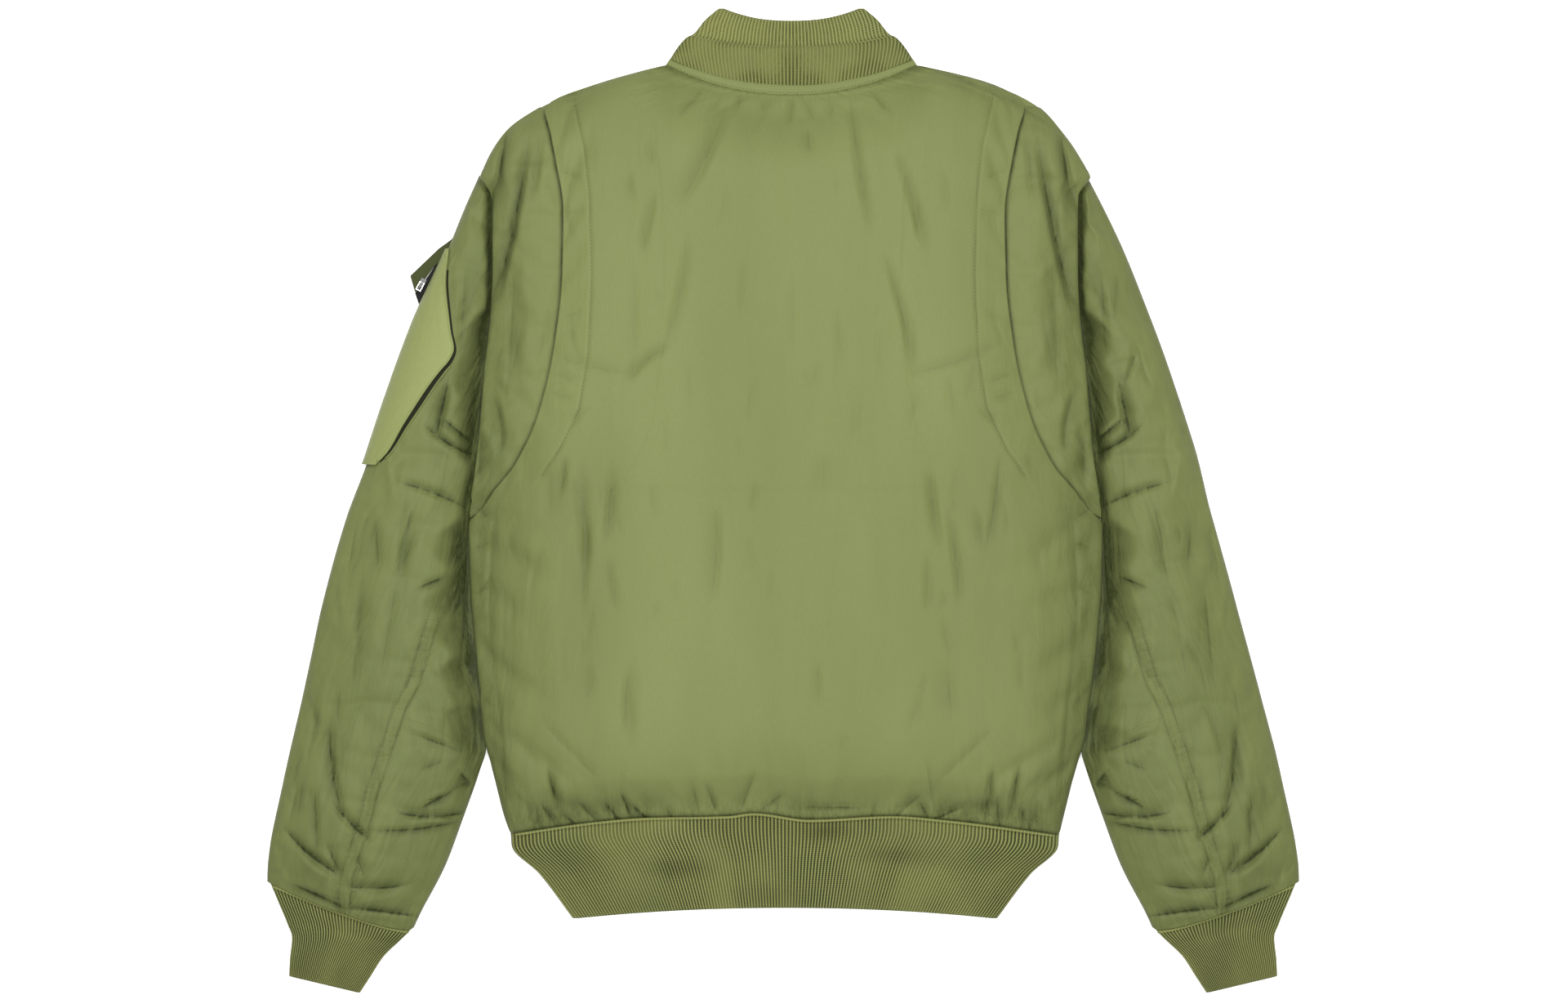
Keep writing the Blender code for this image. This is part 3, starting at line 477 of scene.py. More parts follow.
def crinkle_group() -> bpy.types.NodeTree:
    """Shared group: the fine long crinkles and soft patches of washed nylon."""
    name = "crinkled nylon"
    if name in bpy.data.node_groups:
        return bpy.data.node_groups[name]
    tree = bpy.data.node_groups.new(name, "ShaderNodeTree")
    tree.interface.new_socket("Vector", in_out="INPUT", socket_type="NodeSocketVector")
    for label, value in (("Length", 5.0), ("Scale", 60.0)):
        tree.interface.new_socket(label, in_out="INPUT", socket_type="NodeSocketFloat").default_value = value
    for label in ("Height", "Patch", "Thread", "Pucker"):
        tree.interface.new_socket(label, in_out="OUTPUT", socket_type="NodeSocketFloat")
    wire = Wiring(tree)
    inn, out = tree.nodes.new("NodeGroupInput").outputs, tree.nodes.new("NodeGroupOutput").inputs
    parts = wire.add("SeparateXYZ", {0: inn["Vector"]}).outputs
    shrunk = wire.math("DIVIDE", parts["Y"], inn["Length"])
    place = wire.add("CombineXYZ", {"X": parts["X"], "Y": shrunk, "Z": parts["Z"]}).outputs[0]
    bend = wire.noise(place, inn["Scale"], 5.0, 0.62, 0.7)
    fine = wire.noise(place, wire.times(inn["Scale"], 4.0), 3.0, 0.6)
    height = wire.plus(wire.times(wire.ridge(bend, 6.0), 0.55), bend, 0.7)
    wire.join(wire.plus(height, fine, 0.3), out["Height"])
    wire.join(wire.ramp(wire.noise(place, 9.0, 3.0), 0.3, 0.7), out["Patch"])
    wire.join(wire.ramp(wire.noise(place, 900.0, 2.0, 0.7), 0.3, 0.7), out["Thread"])
    wire.join(wire.ridge(fine, 9.0), out["Pucker"])
    return tree


@dataclass(frozen=True)
class Finish:
    """What one material shows."""

    name: str

    def wired(self, wire: Wiring) -> dict[str, object]:
        """Adds the nodes and gives what each of the shader's inputs is joined to or set to."""
        raise NotImplementedError

    def material(self) -> Material:
        """Builds a new material."""
        made = bpy.data.materials.new(self.name)
        made.use_nodes = True
        wire = Wiring(made.node_tree)
        for label, value in self.wired(wire).items():
            wire.join(value, made.node_tree.nodes["Principled BSDF"].inputs[label])
        return made


@dataclass(frozen=True)
class Nylon(Finish):
    """Crinkled nylon: two close tones, long fine crinkles and a soft sheen, with painted shade in folds and
    crease lines and a painted highlight beside them.
    """

    light: Colour
    shade: Colour
    # The colour of the painted shade in folds, crease lines, puckers and the valley beside the body.
    deep: Colour
    thread: Colour
    roughness: float = 0.6
    sheen: float = 0.02
    crinkle: float = 0.22
    scale: float = 55.0

    def wired(self, wire: Wiring) -> dict[str, object]:
        """Reads the cut's UV map and the notes kept on the cloth, which place its painted shade and painted
        highlights.
        """
        times, inputs = wire.times, {"Vector": wire.cut(), "Scale": self.scale}
        effect = wire.add("Group", inputs, node_tree=crinkle_group()).outputs
        height = effect["Height"]
        # Notes: painted shade (fold), distance to crease lines (crease), their sharpness (pinch) and puckers
        # (gather).
        fold, crease, pinch, gather = (wire.note(name) for name in ("fold", "crease", "pinch", "gather"))
        core = wire.math("SUBTRACT", 1.0, wire.ramp(wire.math("ABSOLUTE", crease), 0.0, 0.15))
        core = times(times(core, pinch), wire.ramp(height, 0.45, 1.05))
        bank_shade = times(wire.ramp(crease, 0.42, 0.06), wire.ramp(crease, -0.04, 0.04))
        painted_highlight = times(wire.ramp(crease, -0.40, -0.16), wire.ramp(crease, -0.05, -0.15))
        puckered = times(effect["Pucker"], gather)
        # Painted shade: darker in folds, in a dark core and a soft bank along crease lines, and in puckers.
        dark = wire.plus(fold, fold, times(wire.math("SUBTRACT", height, 0.8), 0.8))
        dark = wire.plus(dark, core, 0.6)
        dark = wire.plus(dark, times(bank_shade, pinch), 0.2)
        dark = wire.plus(dark, puckered, 0.22)
        base = wire.mix(effect["Patch"], self.shade, self.light)
        # A painted highlight on the ridge beside each crease line.
        base = wire.mix(times(painted_highlight, times(pinch, 0.5)), base, tuple(c * 1.35 for c in self.light))
        base = wire.mix(dark, base, self.deep)
        relief = wire.plus(wire.plus(height, core, -1.2), puckered, -1.0)
        return {
            "Base Color": wire.mix(times(effect["Thread"], 0.18), base, self.thread),
            "Roughness": wire.plus(self.roughness + 0.05, wire.ramp(height, 0.0, 1.4), -0.1),
            "Normal": wire.bump(self.crinkle, 0.0012, relief),
            "Sheen Weight": self.sheen,
            "Sheen Roughness": 0.4,
            "Specular IOR Level": 0.1,
        }


@dataclass(frozen=True)
class Knit(Finish):
    """Rib knit: ribs along V, one for each unit of U, with painted shade in the gaps and ladders between
    them.
    """

    rib: Colour
    # The colour of the painted shade in the gaps between ribs, also laid over the knit by the shade note.
    shaded_gap: Colour
    warm: Colour
    ladder: float = 0.0017
    gap_depth: float = 1.0

    def wired(self, wire: Wiring) -> dict[str, object]:
        """Reads the cut's UV map, object coordinates and the notes for plain parts and painted shade."""
        times = wire.times
        parts = wire.add("SeparateXYZ", {0: wire.cut()}).outputs
        shaded_gap = wire.ramp(wire.from_middle(wire.math("FRACT", parts["X"])), 0.17, 0.36)
        rung = wire.math("FRACT", wire.math("DIVIDE", parts["Y"], self.ladder))
        rung = wire.ramp(wire.from_middle(rung), 0.1, 0.32)
        place = wire.add("TexCoord").outputs["Object"]
        uneven = wire.ramp(wire.noise(place, 16.0, 3.0), 0.38, 0.62)
        fuzz = wire.noise(place, 1400.0, 2.0)
        tone = wire.mix(uneven, self.rib, self.warm)
        tone = wire.mix(times(fuzz, 0.35), tone, self.shaded_gap)
        # Painted shade in the gaps between ribs, broken by the ladder's rungs and weaker where the knit is
        # plain.
        dark = times(shaded_gap, wire.math("SUBTRACT", 1.0, times(rung, 0.45)))
        strength = wire.plus(wire.plus(self.gap_depth, uneven, -0.2), wire.note("plain"), -0.62)
        tone = wire.mix(times(dark, strength), tone, self.shaded_gap)
        height = wire.plus(wire.plus(wire.math("SUBTRACT", 1.0, shaded_gap), rung, 0.35), fuzz, 0.4)
        return {
            # More painted shade over the whole tone, where the shade note asks for it.
            "Base Color": wire.mix(wire.note("shade"), tone, self.shaded_gap),
            "Roughness": 0.9,
            "Normal": wire.bump(0.6, 0.0005, height),
            "Sheen Weight": 0.02,
            "Sheen Roughness": 0.6,
            "Specular IOR Level": 0.05,
        }


@dataclass(frozen=True)
class Plain(Finish):
    """A finish with a fine grain: thread, tape or worn metal."""

    colour: Colour
    dark: Colour
    roughness: float
    metallic: float = 0.0
    grain: float = 900.0
    bump: float = 0.2

    def wired(self, wire: Wiring) -> dict[str, object]:
        """Reads object coordinates."""
        grain = wire.noise(wire.add("TexCoord").outputs["Object"], self.grain, 3.0)
        return {
            "Base Color": wire.mix(grain, self.dark, self.colour),
            "Roughness": wire.plus(self.roughness - 0.1, grain, 0.2),
            "Normal": wire.bump(self.bump, 0.0002, grain),
            "Metallic": self.metallic,
            "Specular IOR Level": 0.5 if self.metallic else 0.12,
        }


OLIVE = Nylon(
    "olive crinkled nylon",
    (0.156, 0.180, 0.063), (0.140, 0.162, 0.056), (0.018, 0.023, 0.006), (0.115, 0.133, 0.042),
)
OLIVE_LIGHT = Nylon(
    "olive nylon of the pocket",
    (0.222, 0.249, 0.092), (0.204, 0.229, 0.083), (0.060, 0.072, 0.021), (0.140, 0.160, 0.052),
)
# A darker copy of the olive nylon: painted shadow on the flap, which lies below the pocket.
OLIVE_PAINTED_SHADOW = Nylon(
    "olive nylon in shadow",
    (0.050, 0.060, 0.020), (0.042, 0.050, 0.016), (0.020, 0.025, 0.008), (0.030, 0.036, 0.011), 0.7,
)
# Near-black nylon for the pocket's gusset: its own dark cloth, darkened further as painted shadow of the gap
# beside the pocket.
GUSSET_PAINTED_SHADOW = Nylon(
    "dark nylon of the gusset",
    (0.014, 0.017, 0.006), (0.011, 0.013, 0.005), (0.007, 0.008, 0.003), (0.009, 0.010, 0.004), 0.75,
)
RIB_KNIT = Knit("olive rib knit", (0.226, 0.246, 0.086), (0.018, 0.023, 0.005), (0.240, 0.252, 0.085))
THREAD = Plain("olive sewing thread", (0.11, 0.127, 0.045), (0.08, 0.092, 0.032), 0.7)
TAPE = Plain("black zip tape", (0.020, 0.020, 0.018), (0.008, 0.008, 0.008), 0.85)
DARK_METAL = Plain("blackened metal", (0.09, 0.09, 0.085), (0.05, 0.05, 0.05), 0.45, 1.0, 300.0, 0.1)
NICKEL = Plain("nickel-plated metal", (0.40, 0.40, 0.38), (0.28, 0.28, 0.27), 0.32, 1.0, 300.0, 0.1)


# ---- forms


@dataclass(frozen=True)
class BodyForm:
    """Outline and heights of the flat body, from which all of its panels are grown."""

    # Height along the body, half width and shift of the middle.
    sides: Table = (
        (361, 104, 6.8), (347, 159.3, 10), (326, 207.7, 5.4), (306, 230.4, 0.4), (286, 244.2, 0.7),
        (269, 251.4, 1.7), (252, 240.5, 1.7), (191, 240.5, 1.7), (149, 242.6, 1.7), (109, 247.3, 1.7),
        (74, 250, 1.7), (36, 253.4, 1.7), (-16, 260.5, 2), (-66, 259.5, 2.3), (-105, 256.6, 2.3),
        (-143, 252.7, 2), (-180, 248.6, 1), (-206, 245.6, 1), (-235, 238.4, 0.5), (-258, 232.8, 0.5),
        (-277, 227.3, 1.5),
    )
    # The open edge of each action pleat.
    pleat: Table = (
        (326, 199, 0.7), (306, 193.6, 0.7), (279, 188, 0.7), (239, 182, 0.7), (185, 183, 0.7),
        (124, 190, 0.7), (70, 203, 0.7), (29, 222.5, 0.7), (8, 240, 1), (-4, 248.5, 1.4),
        (-15, 257.5, 1.9),
    )
    hem_seam: Table = (
        (-226, -276), (-156, -266), (-115, -262.5), (-45, -261), (-25, -258.5), (22, -264), (90, -261),
        (140, -265), (226, -276.5),
    )
    front_hem: Row = (226.0, -262.5, 14.0)
    neck: Row = (104.0, 337.0, 24.0)
    front_neck: float = 333.0
    neck_shift: float = 6.8
    crown: float = 43.0
    back_edge: float = 18.5
    back_shoulder: float = 85.0
    front_edge: float = 11.5
    front_shoulder: float = 15.0
    layers_meet: float = 14.0
    neck_rows: float = 235.0
    hem_rows: float = -180.0

    @property
    def ends(self) -> tuple[float, float]:
        """Y of the body's lowest and highest rows."""
        return self.sides[-1][0], self.sides[0][0]

    @property
    def back_under(self) -> float:
        """Height of the back's inner face."""
        return self.layers_meet + SEAM

    def half(self, y: Array) -> Array:
        """Half width of the body's outline."""
        return smooth(self.sides, y, 1)

    def shift(self, y: Array) -> Array:
        """How far the outline's middle is to the right."""
        return smooth(self.sides, y, 2)

    def armhole(self, y: Array, side: int) -> Array:
        """X of the panels' edge on one side."""
        return self.shift(y) + side * (self.half(y) - SEAM / 2)

    def seam(self, x: Array) -> Array:
        """Y of the hem seam on the back."""
        return smooth(self.hem_seam, x, 1)

    def front_seam(self, x: Array) -> Array:
        """Y of the hem seam on the fronts."""
        half, top, drop = self.front_hem
        return top - drop * (np.abs(x) / half) ** 3

    def neck_line(self, u: Array) -> tuple[Array, Array]:
        """Place of the neck seam on the back at a share of its half width."""
        half, low, rise = self.neck
        return self.neck_shift + u * half, low + rise * u * u

    def outline(self) -> list[list[Point]]:
        """The whole outline as lines of short runs."""
        ys = np.linspace(*self.ends, 90)
        lines = [list(zip(self.shift(ys) + side * self.half(ys), ys)) for side in (-1, 1)]
        lines.append(list(zip(*self.neck_line(np.linspace(-1, 1, 25)))))
        xs = np.linspace(self.hem_seam[0][0], self.hem_seam[-1][0], 40)
        return [*lines, list(zip(xs, self.seam(xs)))]

    def inside(self, x: Array, y: Array) -> Array:
        """Distance from places to the outline."""
        return np.min([to_line(x, y, line)[0] for line in self.outline()], axis=0)

    def back(self, x: Array, y: Array) -> Array:
        """Top of the back."""
        rise = quarter(self.inside(x, y), self.back_shoulder)
        return self.back_edge + (self.crown - self.back_edge) * rise

    def front(self, x: Array, y: Array) -> Array:
        """Underside of the fronts, on the surface or rounded up at the outline."""
        return self.front_edge * (1.0 - quarter(self.inside(x, y), self.front_shoulder))

    def ease(self, y: Array, x: Array, u: Array, drop: float, seam: Callable[[Array], Array]) -> Array:
        """How far a row bends down towards the neck, or up or down towards the hem seam."""
        bottom, top = self.ends
        neck = unit((y - self.neck_rows) / (top - self.neck_rows)) ** 1.5
        hem = unit((self.hem_rows - y) / (self.hem_rows - bottom))
        return hem * (seam(x) + SEAM / 2 - bottom) - neck * drop * (1.0 - u * u)


@dataclass(frozen=True)
class SleeveForm:
    """Sections across a flattened sleeve, from the shoulder to the cuff."""

    body: BodyForm
    # Number, outer half, outer Y, lean, inner half (0 along the body), inner Y, thickness, seam, droop.
    sections: Table = (
        (0, 251.4, 269, 0, 0, 251.6, 23, 0, 0), (1, 262.9, 245.6, -0.7, 0, 226, 28, 0, 0),
        (2, 280.8, 205, -2, 0, 191, 34, 0, 0), (3, 297.4, 164.4, -1.5, 0, 149, 38, 0, 0),
        (4, 312.9, 123.8, -1.3, 0, 109, 40, 0, 0), (5, 327, 83.2, -1, 0, 74, 41, 0, 0),
        (6, 340.5, 42.6, -0.5, 0, 36, 41, 0, 0), (6.94, 356, -6.9, 2.85, 0, -12.9, 41, 0, 0),
        (7, 357, -10, 3, 0, -16, 41, 0.015, 0), (8, 368, -48, 3.4, 0, -66, 41, 0.05, 0),
        (9, 378.6, -88, 3.2, 0, -105, 41, 0.116, 0), (10, 388.3, -128, 2, 0, -143, 41, 0.283, 0),
        (11, 398, -168, 1, 0, -180, 40, 0.40, 0), (11.62, 403.9, -191.6, 0.6, 247.2, -206, 40, 0.437, 0),
        (12, 407.5, -206, 0.4, 251.3, -221, 40, 0.459, 0),
        (13, 415.4, -241.5, 0.3, 265.6, -262, 39, 0.474, 0),
        (14, 424.2, -282.1, 0.2, 280.8, -302.4, 35, 0.467, 0),
        (15, 427.4, -305, 0, 300.7, -340, 27, 0.44, 9), (16, 428, -316, 0, 307.5, -354.3, 21, 0.458, 15),
    )
    last_by_body: int = 11
    first_under: int = 7
    beside: float = 0.5
    slit: float = 0.8
    edge_bulge: float = 1.0
    middle: float = 0.42
    edge_layer: float = 2.5
    fold: float = 13.0

    def column(self, section: Array, column: int) -> Array:
        """A value of the sections at whole or broken numbers."""
        return smooth(self.sections, section, column)

    def inner(self, section: Array, side: int) -> Array:
        """X of the sleeve's inner edge."""
        y = self.column(section, 5)
        along = self.body.shift(y) + side * (self.body.half(y) + self.beside)
        table = []
        for row in self.sections:
            by_body = float(self.body.half(np.array([row[5]]))[0]) + self.beside
            table.append((row[0], row[4] or by_body))
        free = side * smooth(table, section, 1)
        free = free + self.body.shift(y) * unit(self.last_by_body + 1 - section)
        return np.where(section <= self.last_by_body, along, free)

    def place(self, section: Array, share: Array, side: int) -> tuple[Array, Array]:
        """X and Y at a share of the width, 0 at the inner edge and 1 at the outer."""
        outer = side * self.column(section, 1) - self.column(section, 3)
        inner = self.inner(section, side)
        low, high = self.column(section, 5), self.column(section, 2)
        droop = self.column(section, 8) * sag(share)
        return inner + (outer - inner) * share, low + (high - low) * share - droop

    def width(self, section: Array) -> Array:
        """Width of the sleeve across a section."""
        return self.column(section, 1) - np.abs(self.inner(section, 1))

    def level(self, section: Array) -> Array:
        """Height of the sleeve's middle, where its two faces are folded."""
        return self.middle * self.column(section, 6)

    def height(self, section: Array, share: Array, layer: Layer) -> Array:
        """Height of the sleeve's face over the surface."""
        middle = self.level(section)
        bend = unit(np.abs(2.0 * share - 1.0))
        if layer is Layer.TOP:
            full = (1.0 - bend**2.3) ** 0.55
            return middle + self.edge_layer + (self.column(section, 6) - middle - self.edge_layer) * full
        return (middle - self.edge_layer) * (1.0 - (1.0 - bend**7.0) ** 0.6)

    def stations(self, first: float, last: float, step: float) -> Array:
        """Section numbers from first to last about a step apart along the sleeve."""
        numbers = np.linspace(first, last, 400)
        run = run_along(grid(*self.place(numbers, np.full(400, 0.6), 1)))
        count = max(int(round(run[-1] / step)), 2)
        return np.interp(np.linspace(0, run[-1], count + 1), run, numbers)


# ---- folds


@dataclass(frozen=True)
class Folds:
    """Creases and soft ridges of one part of the jacket.

    Each row gives the two ends, the depth (below 0 for a ridge) and the half width, and for
    some how far the fold bows sideways and how much steeper its left side is than its right.
    """

    rows: Table = ()
    mirrored: Table = ()
    lean: float = 0.4
    line_reach: float = 9.0
    corners: int = 9

    def leaning(self) -> list[Row]:
        """All folds, on both sides where they are mirrored, each with a steeper side."""

        def lean(rows: Sequence[Row]) -> list[Row]:
            """Gives a fold without a bow none, and one without a steeper side one in turn."""
            rest = [(0.0, -self.lean), (0.0, self.lean)]
            return [(*row, *rest[k % 2][len(row) - 6 :]) for k, row in enumerate(rows)]

        both = lean(self.mirrored)
        other = [(-x0, y0, -x1, y1, *size, -bow, -side) for x0, y0, x1, y1, *size, bow, side in both]
        return lean(self.rows) + both + other

    def depth(self, x: Array, y: Array) -> tuple[Array, Array, Array]:
        """How the surface goes down at some places.

        Args:
            x: Places across.
            y: Places along.

        Returns:
            The depth, the distance to the nearest fold's line, below 0 on its steeper side,
            and how sharp that line is.
        """
        total, sharp = np.zeros(x.shape), np.zeros(x.shape)
        line, second = np.full(x.shape, self.line_reach), np.full(x.shape, self.line_reach)
        for fold in self.leaning():
            x0, y0, x1, y1, _, wide, bow, _ = fold
            reach = 3.2 * wide + abs(bow)
            near = (x > min(x0, x1) - reach) & (x < max(x0, x1) + reach)
            near &= (y > min(y0, y1) - reach) & (y < max(y0, y1) + reach)
            if not near.any():
                continue
            down, off, strength = self.one(x[near], y[near], fold)
            total[near] += down
            best, away = np.abs(line[near]), np.abs(off)
            closer = away < best
            second[near] = np.where(closer, best, np.minimum(second[near], away))
            line[near] = np.where(closer, off, line[near])
            sharp[near] = np.where(closer, strength, sharp[near])
        return total, line, sharp * unit((second - np.abs(line)) / 3.0)

    def one(self, x: Array, y: Array, fold: Row) -> tuple[Array, Array, Array]:
        """The depth of a single fold near it, the distance to its line and that line's sharpness."""
        x0, y0, x1, y1, deep, wide, bow, lean = fold
        length = math.hypot(x1 - x0, y1 - y0)
        t = np.linspace(0.0, 1.0, self.corners)
        aside = bow * 4 * t * (1 - t) / length
        line = grid(x0 + (x1 - x0) * t - (y1 - y0) * aside, y0 + (y1 - y0) * t + (x1 - x0) * aside)
        off, share, side = to_line(x, y, line)
        sharpness, wide = min(max(deep / 5.0, 0.0), 1.0), max(wide, 4.0)
        run = off / np.maximum(wide * (1.0 + lean * side), 0.2 * wide)
        taper = np.sin(np.pi * np.clip(share, 0.02, 0.98)) ** 0.6
        crease = 0.25 * bell(off, max(0.45 * wide, 2.0))
        hollow = (1.0 - 0.45 * run * run) * np.exp(-0.8 * run * run) * 0.8
        down = min(deep, 1.05 * wide) * taper * (hollow + crease)
        strength = taper * sharpness * unit((LINE_SEEN - off) / 1.6)
        return down, off * side * math.copysign(1.0, lean), strength


def scattered(seed: int, count: int, xs: Point, ys: Point, lean: float, deep: Point) -> Table:
    """Small random creases that run down a part of the cloth.

    Args:
        seed: Which set of creases.
        count: How many.
        xs: From where to where across.
        ys: From where to where along.
        lean: How far a crease goes outwards for each millimetre down.
        deep: The least and greatest depth.

    Returns:
        Rows of folds.
    """
    dice = np.random.default_rng(seed)
    rows = []
    for _ in range(count):
        y, long = dice.uniform(*ys), dice.uniform(12.0, 42.0)
        x = dice.uniform(*xs) + lean * (ys[1] - y)
        out = long * (lean + dice.normal(0.0, 0.16))
        bow, size = dice.uniform(-2.5, 2.5), (dice.uniform(*deep), dice.uniform(2.4, 4.6))
        rows.append(tuple(round(float(value), 2) for value in (x, y, x + out, y - long, *size, bow)))
    return tuple(rows)


# ---- padded panels


@dataclass
class Panel:
    """A padded panel while it is being made."""

    thing: Thing
    held: Array
    nodes: tuple[str, ...]
    folds: Callable[[Array, Array, Array], Creased]
    covered: Array

    def refine(self) -> None:
        """Subdivides the panel, moves its points along their folds and notes the painted shade and crease
        lines that its finish reads.
        """
        data = self.thing.data
        note_points(self.thing, "covered", self.covered)
        step = self.thing.modifiers.new("round", "SUBSURF")
        step.levels = step.render_levels = 1
        step.boundary_smooth = "PRESERVE_CORNERS"
        apply_modifiers(self.thing)
        bare = np.zeros(len(data.vertices), np.float32)
        data.attributes["covered"].data.foreach_get("value", bare)
        bare = 1.0 - bare.astype(float)
        moved, notes = self.folds(coordinates(data), vertex_values(data, "normal"), bare)
        put(self.thing, moved)
        for name, values in notes.items():
            note_points(self.thing, name, values)


@dataclass
class Puff:
    """Cloth simulation that puffs padded panels between their seams."""

    pressure: float = 4.0
    frames: int = 20
    cap: float = 5.0
    growth: float = -0.02
    stiffness: float = 12.0

    def run(self, panels: Sequence[Panel]) -> None:
        """Simulates all panels together and leaves the result in their meshes."""
        scene = bpy.context.scene
        start = [coordinates(panel.thing.data) for panel in panels]
        for panel in panels:
            self.add_cloth(panel)
        for frame in range(1, self.frames + 1):
            scene.frame_set(frame)
        graph = bpy.context.evaluated_depsgraph_get()
        for panel, still in zip(panels, start):
            result = panel.thing.evaluated_get(graph)
            moved = coordinates(result.to_mesh()) - still
            result.to_mesh_clear()
            size = np.linalg.norm(moved, axis=1, keepdims=True)
            kept = moved * (self.cap * np.tanh(size / self.cap) / np.maximum(size, 1e-6))
            panel.thing.modifiers.clear()
            panel.thing.vertex_groups.clear()
            put(panel.thing, still + kept * (1.0 - panel.held[:, None]))
        scene.frame_set(1)

    def add_cloth(self, panel: Panel) -> None:
        """Pins a panel's held points and gives it its cloth settings."""
        group = panel.thing.vertex_groups.new(name="held")
        held = panel.held.round(2)
        for weight in np.unique(held):
            group.add(np.flatnonzero(held == weight).tolist(), float(weight), "REPLACE")
        cloth = panel.thing.modifiers.new("puff", "CLOTH")
        values = {
            "quality": 4, "mass": 0.3, "tension_stiffness": self.stiffness,
            "compression_stiffness": self.stiffness, "shear_stiffness": 4.0, "bending_stiffness": 0.4,
            "air_damping": 2.0, "shrink_min": self.growth, "use_pressure": True,
            "uniform_pressure_force": self.pressure, "vertex_group_mass": "held",
        }
        for name, value in values.items():
            setattr(cloth.settings, name, value)
        cloth.settings.effector_weights.gravity = 0.0
        cloth.collision_settings.use_collision = False
        cloth.collision_settings.use_self_collision = False
        cloth.point_cache.frame_start, cloth.point_cache.frame_end = 1, self.frames


def held_points(shape: tuple[int, int], free_rows: Array | None = None) -> Array:
    """Weights that hold a shell's rim and inner face.

    Args:
        shape: Rows and columns of its faces.
        free_rows: Which points of the outer face may move, or None for all but the rim.

    Returns:
        One weight a point, 1 where it is held.
    """
    outer = np.zeros(shape)
    for depth, weight in ((1, 0.5), (0, 1.0)):
        outer[: depth + 1, :] = outer[-depth - 1 :, :] = weight
        outer[:, : depth + 1] = outer[:, -depth - 1 :] = weight
    if free_rows is not None:
        outer = np.where(free_rows, outer, 1.0)
    return np.concatenate([outer.ravel(), np.ones(outer.size)])


